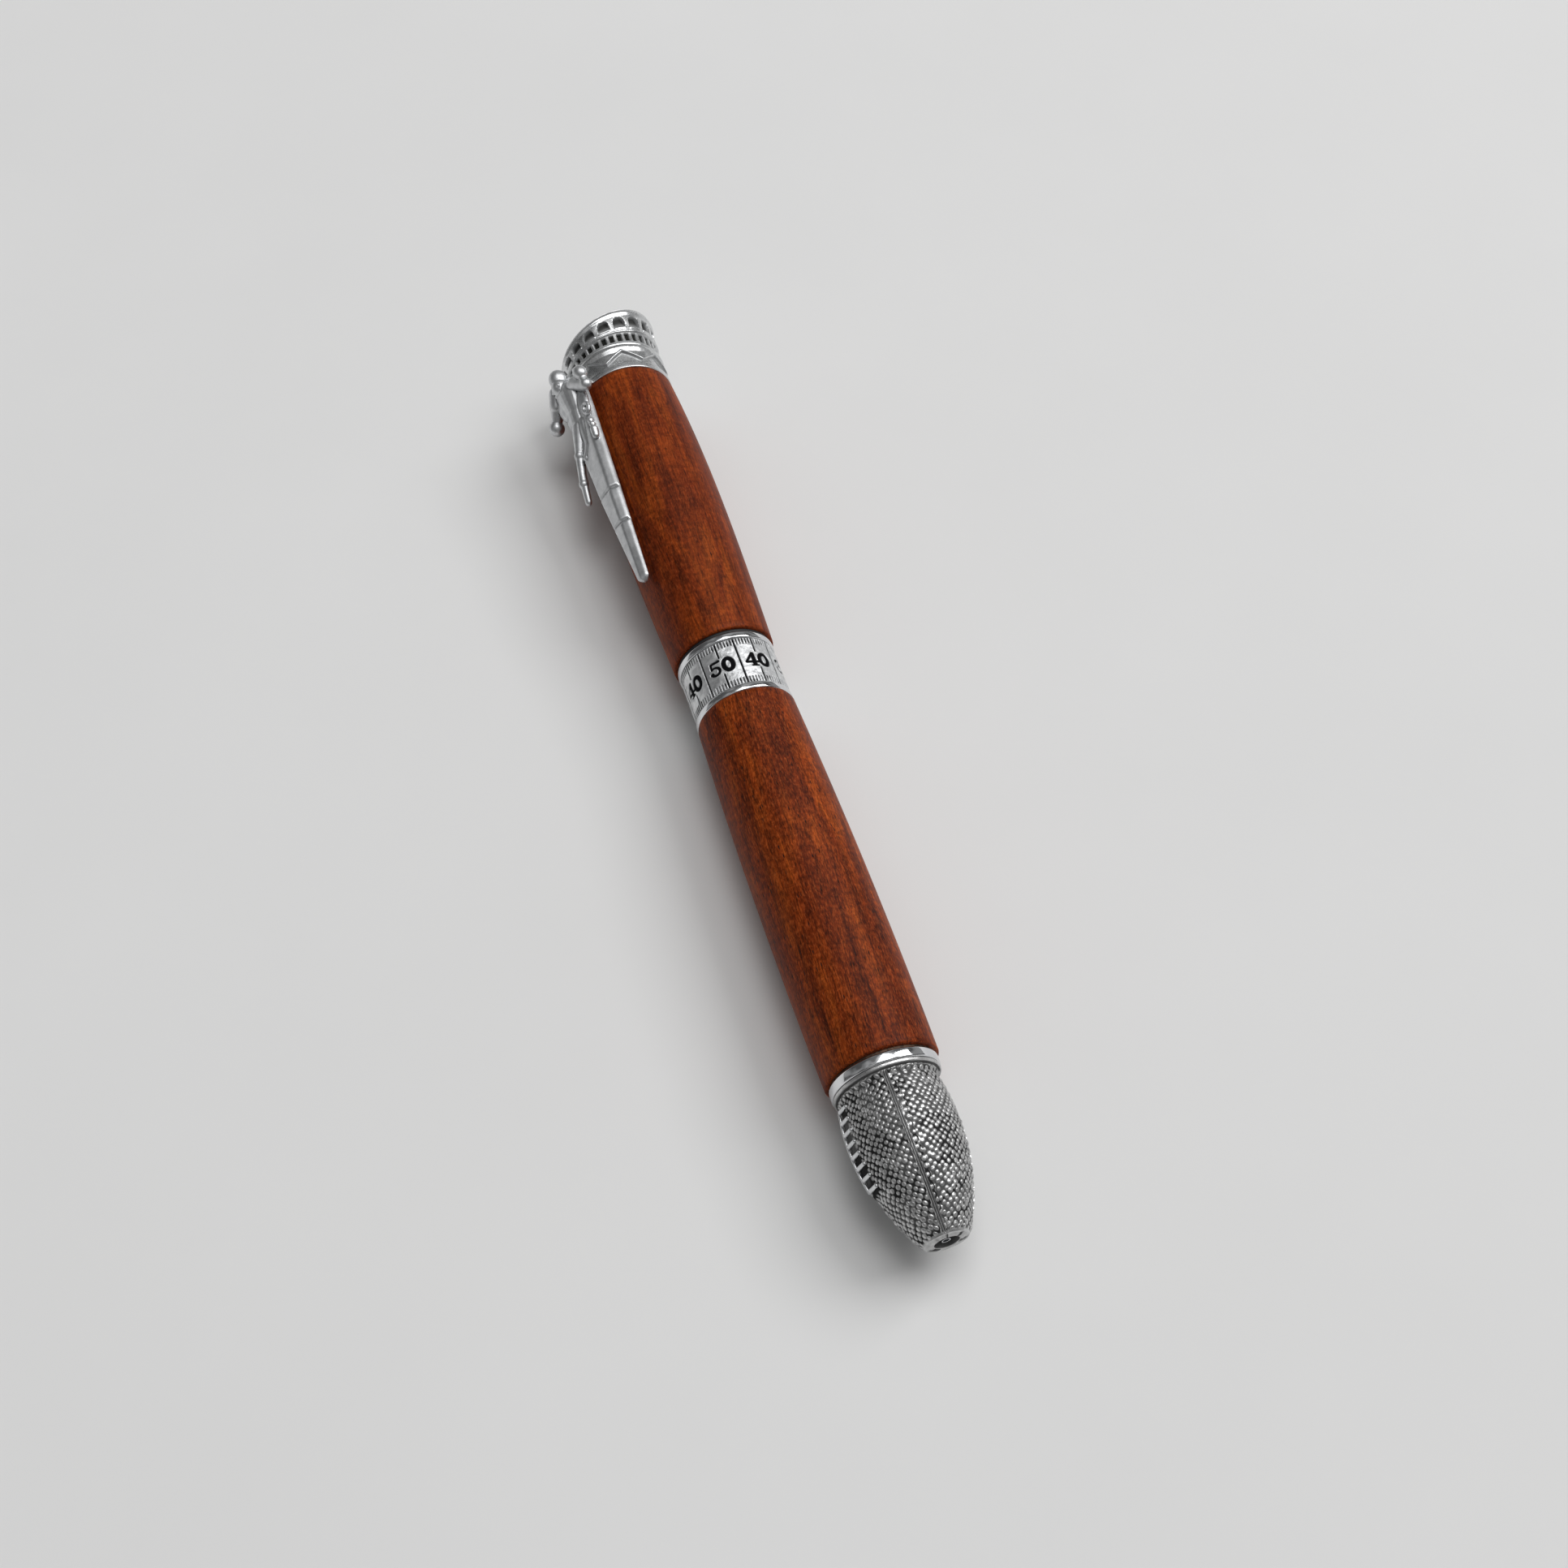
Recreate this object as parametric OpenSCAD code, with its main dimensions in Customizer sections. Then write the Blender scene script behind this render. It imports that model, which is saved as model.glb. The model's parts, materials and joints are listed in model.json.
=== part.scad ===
// Twist-action mechanical pencil with a football nose, a yard-line centre band,
// turned wood barrels, a cast player clip and a stadium finial. Millimetres.
// Frame: X runs from the writing mouth to the finial, the origin is the centre of
// the mouth's flat ring, and Z is up as the pencil lies on a table.

/* [Nose] */
// Length of the football nose with its collar
nose_length = 18.8; // [18:0.1:20]
// Radius of the football at its fattest point
nose_max_r = 6.03; // [5.8:0.01:6.3]
// Distance from the mouth to the fattest point
nose_max_x = 12.7; // [12:0.1:13.5]
// Radius of the arc that the football's outline follows
nose_arc_r = 25; // [23:0.5:28]
// Radius of the hole in the mouth
mouth_bore_r = 1.42; // [1.35:0.01:1.6]
// Radius of the collar at the rear of the nose
collar_r = 6.2; // [6:0.05:6.5]
// Number of lace stitches
lace_count = 8; // [4:1:10]
// Angle of the laces, from straight up towards the left
lace_angle = 84; // [0:1:180]
// Width of the polished ring behind the nose
nose_ring_width = 1.2; // [1:0.1:1.3]
// Radius of the polished ring behind the nose
nose_ring_r = 6.36; // [6.2:0.01:6.5]

/* [Barrels] */
// Length of the lower wood
lower_wood_length = 49.1; // [48:0.1:49.1]
// Lower wood's radius at the nose end
lower_front_r = 6.65; // [6.4:0.05:6.9]
// Lower wood's radius at the band end
lower_rear_r = 6.16; // [6:0.05:6.5]
// Length of the upper wood
upper_wood_length = 44.4; // [44:0.1:44.4]
// Upper wood's radius at the band end
upper_front_r = 6.38; // [6.2:0.01:6.6]
// Upper wood's radius at the finial end
upper_rear_r = 6.44; // [6.2:0.01:6.5]
// Outside radius of the brass tubes
tube_r = 4.76; // [4.7:0.01:4.8]
// Inside radius of the brass tubes
tube_bore_r = 4.4; // [4.4:0.01:4.45]

/* [Centre band] */
// Radius of the band's trim rings
band_r = 6.16; // [6.05:0.01:6.3]
// Width of each trim ring
band_ring_width = 0.9; // [0.7:0.05:1.1]
// Width of the band with its trim rings
band_width = 8.6; // [8.2:0.1:8.6]
// Depth of the engraved field below the trim rings
band_recess = 0.12; // [0.05:0.01:0.2]
// Width of the black washer where the barrels part
washer_width = 0.45; // [0.4:0.05:0.45]

/* [Clip] */
// Angle of the clip, from straight up towards the left
clip_angle = 57; // [0:1:90]
// Distance from the mouth to the clip's tip
clip_tip_x = 90; // [88:0.5:95]
// Radius of the clip blade's inner face
clip_inner_r = 7.5; // [7.4:0.05:8]
// Thickness of the blade at the tip
clip_tip_t = 0.9; // [0.7:0.05:1.2]
// Thickness of the blade at the root
clip_root_t = 1.5; // [1.2:0.1:1.8]
// Half of the blade's width at the tip
clip_tip_half_w = 0.8; // [0.6:0.05:1]
// Half of the blade's width at the root
clip_root_half_w = 2.3; // [1.8:0.1:2.5]

/* [Finial] */
// Height of the middle of the slanted rim above the wood
finial_rise = 9.2; // [9:0.1:9.5]
// Slant of the rim in degrees
rim_slant = 15.5; // [8:0.5:16]
// Side where the rim is highest, from straight up towards the left
rim_high_angle = -75; // [-180:1:180]
// Number of large arches round the wall
arch_count = 18; // [12:1:20]
// Number of small windows round the wall
window_count = 36; // [24:2:40]
// Number of gables round the base
gable_count = 8; // [6:1:10]

/* [Twist mechanism] */
// Travel of the cartridge for half a turn
twist_travel = 5.5; // [4:0.1:5.5]
// Extra push that feeds the lead
feed_travel = 0.7; // [0.3:0.1:0.7]
// Radius of the cam pin
cam_pin_r = 0.6; // [0.5:0.05:0.6]

/* [Lead] */
// Diameter of the lead
lead_d = 0.7; // [0.5:0.1:0.7]
// Outside radius of the cartridge tube
cartridge_r = 3; // [2.9:0.05:3]
// Number of spare leads
spare_count = 3; // [1:1:3]

/* [Hidden] */
$fn = 96;

// Stations along the axis
ring_x = nose_length;
flange_x = ring_x + nose_ring_width;
flange_width = 0.3;
lower_x = flange_x + flange_width;
band_x = lower_x + lower_wood_length;
band_end = band_x + band_width;
washer_gap = 0.05;
upper_x = band_end + washer_gap + washer_width;
upper_end = upper_x + upper_wood_length;
clip_ring_width = 0.6;
finial_x = upper_end + clip_ring_width;

// Handles of the curves that the woods' outlines follow
lower_swell = [6.96, 6.8];
upper_swell = [6.95, 7.55];

// Fits
glue_gap = 0.02;
press_gap = 0.02;
run_gap = 0.06;
slide_gap = 0.1;
end_gap = 0.02;
eps = 0.01;

// Nose interior
mouth_wall = 4;
spring_bore_r = 2.75;
spring_bore_end = 10;
passage_r = 3.3;
socket_x = 12.5;
thread_r = 4.1;
waist_x = 17.7;
outline_steps = 24;
press_length = 10;

// Coupler in the middle of the pencil
band_seat_r = 4.88;
coupler_x = band_x - 11.4;
coupler_stop_x = coupler_x + 4;
journal_length = 6;

// Twist mechanism
guide_bore_r = cartridge_r + slide_gap;
guide_r = 3.55;
guide_end = 108;
cam_bore_r = guide_r + slide_gap;
cam_r = 4.3;
cam_collar_x = 104;
cam_back_x = 109;
cam_end = 112.5;
pin_x = 101;
pin_reach = 4.2;
pin_clear = cam_pin_r + 0.1;
tooth_depth = 1;
dwell = 11;
cam_step = 5;

// Stud that holds the finial and the clip
screw_r = 3;
screw_engagement = 2.4;

// Cartridge
cap_rear_x = 98;
tube_front_x = 17.5;
tube_rear_x = 92.5;
tube_wall = 0.4;
crimp_x = 24;
crimp_width = 1.5;
reservoir_r = 1.4;
reservoir_bore_r = 1.05;
reservoir_x = 23;
spring_flange_x = 38;
spring_flange_width = 1.5;
cap_x = 93.6;
cone_x = 4.2;
cone_tip_r = 0.85;
cone_neck_r = 1.2;
cone_seat_x = 13.5;
cone_seat_r = 2.6;
chamber_x = 14;
chamber_r = 2;
spigot_end = 21;
lead_r = lead_d / 2;
sleeve_r = lead_r + 0.15;
sleeve_x = 0.25;
sleeve_end = 6;
retainer_end = 15.2;
chuck_x = 16.1;
chuck_cone_x = 16.6;
chuck_cone_r = 1.5;
chuck_neck_x = 19.4;
chuck_neck_r = 1.1;
shank_r = 0.95;
shank_end = 27;
clutch_x = 16.9;
clutch_end = 18.9;

// Turns a child that is built along Z so that it lies along X; its X side faces up.
module along_x() rotate([0, 90, 0]) rotate([0, 0, 180]) children();
// Turns a child from the top of the pencil to an angle, towards the left.
module turned(angle) rotate([-angle, 0, 0]) children();

// A tube or disc along X, from x0 to x1.
module ring(x0, x1, outer, inner = 0) {
    along_x() translate([0, 0, x0]) difference() {
        cylinder(h = x1 - x0, r = outer);
        if (inner > 0) translate([0, 0, -1]) cylinder(h = x1 - x0 + 2, r = inner);
    }
}

// A turned shape along X; outline points are [radius, x].
module turned_profile(points) along_x() rotate_extrude() polygon(points);

// A trim ring with rounded outer edges.
module trim_ring(x0, x1, outer, inner, round_r) {
    turned_profile([[inner, x0], [outer - round_r, x0],
        for (a = [15:15:75]) [outer - round_r + round_r * sin(a), x0 + round_r - round_r * cos(a)],
        [outer, x0 + round_r], [outer, x1 - round_r],
        for (a = [15:15:75]) [outer - round_r + round_r * cos(a), x1 - round_r + round_r * sin(a)],
        [outer - round_r, x1], [inner, x1]]);
}

// Radius of a cubic curve through r0 and r1 with the handles a and b, at t from 0 to 1.
function curve_r(t, r0, a, b, r1) =
    r0 * pow(1 - t, 3) + 3 * a * t * pow(1 - t, 2) + 3 * b * pow(t, 2) * (1 - t) + r1 * pow(t, 3);

// A wooden barrel from x0, with softened end edges.
module wood_barrel(x0, length, r0, swell, r1) {
    edge = 0.2;
    turned_profile([[tube_r + glue_gap, x0], [r0 - edge, x0],
        for (i = [0:outline_steps])
            let (t = i / outline_steps)
            [curve_r(t, r0, swell[0], swell[1], r1), x0 + edge + (length - 2 * edge) * t],
        [r1 - edge, x0 + length], [tube_r + glue_gap, x0 + length]]);
}

function nose_r(x) = nose_max_r - nose_arc_r + sqrt(pow(nose_arc_r, 2) - pow(x - nose_max_x, 2));

// Centre line of a coil from x0 to x1 with closed turns at both ends.
function coil_x(turn, turns, x0, x1, wire) =
    let (closed = 1, pitch = 2 * wire + 0.03, lift = wire + 0.02,
         open = (x1 - x0 - 2 * lift - 2 * closed * pitch) / (turns - 2 * closed))
    turn < closed ? x0 + lift + pitch * turn :
    turn < turns - closed ? x0 + lift + pitch * closed + open * (turn - closed) :
    x1 - lift - pitch * (turns - turn);

// A compression spring along X: an eight-sided wire swept round a helix.
module coil_spring(x0, x1, turns, mean_r, wire) {
    per_turn = 16;
    sides = 8;
    rings = turns * per_turn;
    points = [for (i = [0:rings], k = [0:sides - 1])
        let (a = 360 * i / per_turn, s = 360 * k / sides,
             r = mean_r + wire * cos(s),
             x = coil_x(i / per_turn, turns, x0, x1, wire) + wire * sin(s))
        [x, -r * sin(a), r * cos(a)]];
    walls = [for (i = [0:rings - 1], k = [0:sides - 1])
        let (n = (k + 1) % sides, p = i * sides, q = p + sides)
        each [[p + k, p + n, q + n], [p + k, q + n, q + k]]];
    front = [for (k = [sides - 1:-1:0]) k];
    back = [for (k = [0:sides - 1]) rings * sides + k];
    polyhedron(points, concat([front, back], walls));
}

// Football nose: an arc of revolution with a waist, a collar, laces and a stepped bore.
module nose_cone() {
    lace_pitch = 1.35;
    lace_x = 7.6;
    lace_r = 0.3;
    lace_length = 2.4;
    lace_lift = 0.12;
    mouth_edge = 0.12;
    collar_step = 0.15;
    color("dimgray") difference() {
        union() {
            turned_profile([[0, 0], [nose_r(0) - mouth_edge, 0],
                for (i = [0:outline_steps])
                    let (x = mouth_edge + (waist_x - mouth_edge) * i / outline_steps)
                    [nose_r(x), x],
                [collar_r - collar_step, nose_length - 0.5], [collar_r, nose_length - 0.35],
                [collar_r, nose_length - collar_step], [collar_r - collar_step, nose_length],
                [0, nose_length]]);
            turned(lace_angle) for (i = [0:lace_count - 1])
                translate([lace_x + i * lace_pitch, 0, nose_r(lace_x + i * lace_pitch) + lace_lift])
                    rotate([90, 0, 0]) cylinder(h = lace_length, r = lace_r, center = true);
        }
        ring(-1, nose_length + 1, mouth_bore_r);
        ring(mouth_wall, spring_bore_end + 1, spring_bore_r);
        ring(spring_bore_end, nose_length + 1, passage_r);
        ring(socket_x, nose_length + 1, thread_r + press_gap);
    }
}

module nose_ring() {
    color("silver") trim_ring(ring_x, flange_x, nose_ring_r, thread_r + press_gap, 0.2);
}

// Threaded front coupler: its nose end screws into the nose, its rear end is pressed into the tube.
module front_coupler() {
    flange_r = 6.1;
    color("goldenrod") difference() {
        union() {
            ring(socket_x, flange_x + eps, thread_r);
            ring(flange_x, lower_x, flange_r);
            ring(lower_x - eps, lower_x + press_length, tube_bore_r - press_gap);
        }
        ring(socket_x - 1, lower_x + press_length + 1, passage_r);
    }
}

module lower_wood() {
    color("sienna")
        wood_barrel(lower_x, lower_wood_length, lower_front_r, lower_swell, lower_rear_r);
}

module lower_tube() {
    color("goldenrod") ring(lower_x, band_x, tube_r, tube_bore_r);
}

module band_front_ring() {
    color("silver")
        trim_ring(band_x, band_x + band_ring_width, band_r, band_seat_r + press_gap, 0.2);
}

// Yard-line sleeve: a shallow field with a groove for each of its sixteen lines.
module band_sleeve() {
    line_count = 16;
    line_width = 0.16;
    line_depth = 0.1;
    first_angle = 16.4;
    field_r = band_r - band_recess;
    from = band_x + band_ring_width;
    to = band_end - band_ring_width;
    color("darkgray") difference() {
        ring(from, to, field_r, band_seat_r + press_gap);
        for (i = [0:line_count - 1])
            turned(first_angle + i * 360 / line_count)
                translate([from - 1, -line_width / 2, field_r - line_depth])
                    cube([to - from + 2, line_width, 1]);
    }
}

module band_rear_ring() {
    color("silver")
        trim_ring(band_end - band_ring_width, band_end, band_r, band_seat_r + press_gap, 0.2);
}

// Centre coupler: pressed into the lower tube, it carries the band and the upper barrel's journal.
module centre_coupler() {
    color("goldenrod") difference() {
        union() {
            ring(coupler_x, band_x + eps, tube_bore_r - press_gap);
            ring(band_x, band_end, band_seat_r);
            ring(band_end - eps, band_end + journal_length, tube_bore_r - run_gap);
        }
        ring(coupler_x - 1, coupler_stop_x + 1, passage_r);
        ring(coupler_stop_x, band_end + journal_length + 1, guide_r + press_gap);
    }
}

// Guide sleeve with the straight slot that keeps the cam pin from turning.
module guide_sleeve() {
    slot_clear = 0.05;
    slot_front = pin_x - twist_travel - feed_travel - cam_pin_r - 2 * slot_clear;
    slot_back = pin_x + cam_pin_r + 6 * slot_clear;
    slot_half = cam_pin_r + slot_clear;
    color("lightgray") difference() {
        ring(coupler_stop_x, guide_end, guide_r, guide_bore_r);
        translate([slot_front, -slot_half, 0])
            cube([slot_back - slot_front, 2 * slot_half, guide_r + 1]);
    }
}

module return_spring() {
    turns = 7;
    mean_r = 2.1;
    wire = 0.18;
    color("lightsteelblue")
        coil_spring(mouth_wall + end_gap, cone_seat_x - end_gap, turns, mean_r, wire);
}

module thrust_washer() {
    color("black")
        trim_ring(band_end + washer_gap, upper_x, band_r - 0.02, band_seat_r - 0.2, 0.1);
}

module upper_wood() {
    color("sienna")
        wood_barrel(upper_x, upper_wood_length, upper_front_r, upper_swell, upper_rear_r);
}

module upper_tube() {
    color("goldenrod") ring(upper_x, upper_end, tube_r, tube_bore_r);
}

// Rear face of the cam's cut-away: it runs towards the nose over half a turn and dwells at both ends.
function cam_face(angle) =
    pin_x + pin_clear + twist_travel * max(-180, min(0, angle)) / 180;

// The space in front of the cam's ramp, as one closed ring sector.
module cam_cutter() {
    inner = cam_bore_r - 0.5;
    outer = cam_r + 0.5;
    front = pin_x - twist_travel - 5;
    angles = [for (a = [-180 - dwell:dwell:-180]) a, for (a = [-180 + cam_step:cam_step:-cam_step]) a,
              for (a = [0:dwell:dwell]) a];
    last = len(angles) - 1;
    function corner(r, a, x) = [x, -r * sin(a), r * cos(a)];
    points = [for (a = angles)
        each [corner(inner, a, front), corner(outer, a, front),
              corner(outer, a, cam_face(a)), corner(inner, a, cam_face(a))]];
    walls = [for (i = [0:last - 1], k = [0:3])
        let (n = (k + 1) % 4, p = i * 4, q = p + 4)
        each [[p + k, p + n, q + n], [p + k, q + n, q + k]]];
    polyhedron(points, concat([[3, 2, 1, 0]], [[for (k = [0:3]) last * 4 + k]], walls));
}

// Cam sleeve: its ramp pushes the cam pin as the upper barrel turns.
module cam_sleeve() {
    hole_r = 1.5;
    front = cam_face(-180) - tooth_depth;
    color("gainsboro") difference() {
        union() {
            ring(front, cam_collar_x + eps, cam_r);
            ring(cam_collar_x, cam_end, tube_bore_r - press_gap);
        }
        ring(front - 1, cam_back_x, cam_bore_r);
        ring(cam_back_x - 1, cam_end + 1, hole_r);
        cam_cutter();
    }
}

// A limb of the clip's figure: a tapered shaft with a rounder joint at its far end.
// Points are [x, sideways, outwards] in the clip's own frame.
module limb(p, q, rp, rq) {
    joint_swell = 1.1;
    round_fn = 40;
    d = q - p;
    translate(p) rotate([0, acos(d[2] / norm(d)), atan2(d[1], d[0])])
        cylinder(h = norm(d), r1 = rp, r2 = rq, $fn = round_fn);
    translate(q) sphere(r = rq * joint_swell, $fn = round_fn);
}

// Tapered blade with a rounded tip, as the overlap of its plan and its side view.
module clip_blade() {
    root_x = finial_x + 0.9;
    bend_x = 104;
    bend_half_w = 1.65;
    shoulder_x = 118;
    nose_in = 0.6;
    step = 0.05;
    reach = 5;
    top_tip = clip_inner_r + clip_tip_t;
    top_root = clip_inner_r + clip_root_t;
    tip_arc_x = clip_tip_x + clip_tip_half_w;
    intersection() {
        translate([0, 0, clip_inner_r - 1]) linear_extrude(height = reach)
            polygon([[root_x, clip_root_half_w], [shoulder_x, clip_root_half_w], [bend_x, bend_half_w],
                for (a = [90:15:270]) [tip_arc_x + clip_tip_half_w * cos(a), clip_tip_half_w * sin(a)],
                [bend_x, -bend_half_w], [shoulder_x, -clip_root_half_w], [root_x, -clip_root_half_w]]);
        translate([0, reach, 0]) rotate([90, 0, 0]) linear_extrude(height = 2 * reach)
            polygon([[clip_tip_x - 1, clip_inner_r], [clip_tip_x - 1, top_tip - nose_in / 2],
                [clip_tip_x + nose_in, top_tip], [bend_x, top_root - step], [root_x, top_root],
                [root_x, clip_inner_r - nose_in], [upper_end, clip_inner_r - nose_in],
                [upper_end - 1, clip_inner_r]]);
    }
}

// Generic helmeted player with the ball raised, in low relief on the blade.
module clip_figure() {
    round_fn = 40;
    hip = [116.4, 0.6, 8.8];
    waist = [118.8, 0.3, 8.85];
    chest = [122, 0.3, 9];
    right_shoulder = [122.3, -1.5, 9.1];
    right_elbow = [120.4, -3.5, 8.95];
    ball = [122.35, -3.6, 9.3];
    left_shoulder = [124.1, 2.2, 9.2];
    left_elbow = [122.5, 3.05, 9.2];
    left_fist = [120.45, 4.85, 8.85];
    head = [125.2, 0.5, 9.5];
    front_knee = [112.9, 2.3, 9.05];
    front_foot = [109.2, 3.5, 8.85];
    back_knee = [112.6, 0.6, 8.95];
    back_foot = [110.3, 2.3, 8.8];
    translate(right_shoulder) sphere(r = 1.1, $fn = round_fn);
    limb(right_shoulder, left_shoulder, 1, 0.9);
    limb(chest, waist, 1.6, 1.25);
    limb(waist, hip, 1.2, 1.1);
    limb(right_shoulder, right_elbow, 0.85, 0.75);
    limb(right_elbow, ball, 0.6, 0.55);
    translate(ball) sphere(r = 1, $fn = round_fn);
    limb(left_shoulder, left_elbow, 0.85, 0.7);
    limb(left_elbow, left_fist, 0.7, 0.6);
    translate(left_fist) sphere(r = 1.15, $fn = round_fn);
    limb(chest, head, 1, 0.9);
    translate(head) sphere(r = 1.3, $fn = round_fn);
    limb(hip, front_knee, 1, 0.65);
    limb(front_knee, front_foot, 0.62, 0.58);
    limb(front_foot, front_foot + [-2.7, 0.7, -0.3], 0.55, 0.44);
    limb(hip - [0, 0.6, 0], back_knee, 0.95, 0.6);
    limb(back_knee, back_foot, 0.58, 0.42);
}

// Clip: one casting of the ring under the finial, a tab, the blade and the figure.
module clip() {
    tab_half_w = 2;
    tab_foot_r = 4.5;
    ring_r = 6.5;
    ring_bore_r = 3.3;
    color("lightgray") union() {
        ring(upper_end, finial_x, ring_r, ring_bore_r);
        turned(clip_angle) {
            translate([upper_end, -tab_half_w, tab_foot_r])
                cube([clip_ring_width, 2 * tab_half_w, clip_inner_r + 0.5 - tab_foot_r]);
            clip_blade();
            clip_figure();
        }
    }
}

// Stadium finial: gables, a row of small windows, a row of arches, and a slanted stepped bowl.
module finial() {
    base_r = 6.45;
    ledge_r = 6.62;
    wall_r = 6.4;
    rim_r = 6.95;
    socket_depth = 2.5;
    small_x = finial_x + 5.1;
    arch_x = finial_x + 7.4;
    rim_x = upper_end + finial_rise;
    lean = tan(rim_slant);
    top = rim_x + rim_r * lean + 0.2;
    arch_lean = 1.2 * lean / tan(15);
    arch_r = 0.7;
    arch_depth = 0.3;
    window_r = 0.33;
    window_depth = 0.25;
    gable_r = 0.9;
    gable_turn = -6;
    tier = 0.8;
    bowl_r = 5.9;
    cut = 20;
    color("silver") difference() {
        turned_profile([[0, finial_x], [base_r, finial_x], [base_r, finial_x + 0.4],
            [base_r - 0.12, finial_x + 0.6], [wall_r, finial_x + 3.4], [ledge_r, finial_x + 3.7],
            [ledge_r, finial_x + 4.1], [wall_r, finial_x + 4.2], [wall_r + 0.05, finial_x + 5.7],
            [ledge_r + 0.1, finial_x + 5.9], [ledge_r + 0.12, finial_x + 6.2],
            [wall_r + 0.25, finial_x + 6.4], [rim_r, top], [0, top]]);
        ring(finial_x - 1, finial_x + socket_depth, screw_r + press_gap);
        turned(rim_high_angle) translate([rim_x, 0, 0]) rotate([0, rim_slant, 0]) {
            translate([0, -cut / 2, -cut / 2]) cube(cut);
            for (i = [0:2])
                rotate([0, 90, 0]) translate([0, 0, -tier * (i + 1)])
                    cylinder(h = tier * (i + 1) + 1, r = bowl_r - i);
        }
        for (i = [0:arch_count - 1])
            let (a = i * 360 / arch_count)
            turned(a)
                translate([arch_x + arch_lean * cos(a - rim_high_angle), 0, wall_r - arch_depth])
                    cylinder(h = 2, r = arch_r, $fn = 24);
        for (i = [0:window_count - 1])
            let (a = (i + 0.5) * 360 / window_count)
            turned(a) translate([small_x, 0, wall_r - window_depth])
                cylinder(h = 2, r = window_r, $fn = 16);
        for (i = [0:gable_count - 1])
            turned((i + 0.5) * 360 / gable_count + gable_turn)
                translate([finial_x + gable_r, 0, wall_r - 0.15])
                    cylinder(h = 1, r = gable_r, $fn = 4);
    }
}

module finial_bushing() {
    color("goldenrod") ring(cam_end + 0.5, upper_end, tube_bore_r - press_gap, screw_r + press_gap);
}

module finial_screw() {
    color("lightgray") ring(cam_end + 1, finial_x + screw_engagement, screw_r);
}

// Cartridge tube with the crimp that the feed spring stands on.
module cartridge_tube() {
    color("lightsteelblue") difference() {
        ring(tube_front_x, tube_rear_x, cartridge_r);
        ring(tube_front_x - 1, crimp_x, cartridge_r - tube_wall);
        ring(crimp_x - 1, crimp_x + crimp_width + 1, reservoir_r + slide_gap);
        ring(crimp_x + crimp_width, tube_rear_x + 1, cartridge_r - tube_wall);
    }
}

// Writing cone: the neck, the seat of the return spring and the chamber of the chuck.
module cartridge_cone() {
    color("silver") difference() {
        turned_profile([[0, cone_x], [cone_tip_r, cone_x], [cone_neck_r, cone_x + 1],
            [cone_neck_r, cone_seat_x], [cone_seat_r, cone_seat_x], [cone_seat_r, tube_front_x - 1.5],
            [cartridge_r, tube_front_x - 0.7], [cartridge_r, tube_front_x],
            [cartridge_r - tube_wall - press_gap, tube_front_x],
            [cartridge_r - tube_wall - press_gap, spigot_end], [0, spigot_end]]);
        ring(cone_x - 1, sleeve_end, sleeve_r + press_gap);
        ring(sleeve_end - 1, chamber_x + 1, lead_r + slide_gap);
        ring(chamber_x, spigot_end + 1, chamber_r);
    }
}

module lead_sleeve() {
    color("gainsboro") ring(sleeve_x, sleeve_end, sleeve_r, lead_r + 0.03);
}

module lead_retainer() {
    color("dimgray") ring(chamber_x, retainer_end, chamber_r - press_gap, lead_r + 0.03);
}

// Three-jaw chuck with a conical head that the clutch ring closes.
module collet_chuck() {
    slot_width = 0.25;
    slot_end = 24;
    color("goldenrod") difference() {
        turned_profile([[0, chuck_x], [chuck_cone_r - 0.1, chuck_x], [chuck_cone_r, chuck_cone_x],
            [chuck_neck_r, chuck_neck_x], [shank_r, chuck_neck_x + 0.2], [shank_r, shank_end],
            [0, shank_end]]);
        ring(chuck_x - 1, shank_end + 1, lead_r + 0.02);
        for (a = [0:120:240])
            turned(a) translate([chuck_x - 1, -slot_width / 2, 0])
                cube([slot_end - chuck_x + 1, slot_width, 2]);
    }
}

module clutch_ring() {
    taper = (chuck_cone_r - chuck_neck_r) / (chuck_neck_x - chuck_cone_x);
    front_r = chuck_cone_r - taper * (clutch_x - chuck_cone_x) + press_gap;
    back_r = chuck_cone_r - taper * (clutch_end - chuck_cone_x) + press_gap;
    outer = chamber_r - 0.08;
    color("darkgoldenrod")
        turned_profile([[front_r, clutch_x], [outer, clutch_x], [outer, clutch_end],
            [back_r, clutch_end]]);
}

// Lead reservoir with the flange that the feed spring pushes.
module lead_tube() {
    color("whitesmoke") difference() {
        union() {
            ring(reservoir_x, cap_x, reservoir_r);
            ring(spring_flange_x, spring_flange_x + spring_flange_width,
                 cartridge_r - tube_wall - slide_gap);
        }
        ring(reservoir_x - 1, shank_end + 0.5, shank_r + press_gap);
        ring(shank_end, cap_x + 1, reservoir_bore_r);
    }
}

module feed_spring() {
    turns = 9;
    mean_r = 2;
    wire = 0.15;
    color("lightsteelblue")
        coil_spring(crimp_x + crimp_width + end_gap, spring_flange_x - end_gap, turns, mean_r, wire);
}

module feed_cap() {
    cap_r = 2.7;
    plug_length = 9;
    color("white") union() {
        ring(cap_x - plug_length, cap_x + eps, reservoir_bore_r - press_gap);
        ring(cap_x, cap_rear_x, cap_r);
    }
}

// Plunger that the cam pin drives; it pushes the feed cap.
module plunger() {
    length = 6.5;
    recess_r = 1.6;
    color("white") difference() {
        ring(cap_rear_x, cap_rear_x + length, cartridge_r);
        ring(cap_rear_x + length - 2, cap_rear_x + length + 1, recess_r);
        translate([pin_x, 0, 1]) cylinder(h = 4, r = cam_pin_r + press_gap);
    }
}

module cam_pin() {
    color("gainsboro") translate([pin_x, 0, 1]) cylinder(h = pin_reach - 1, r = cam_pin_r);
}

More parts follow.
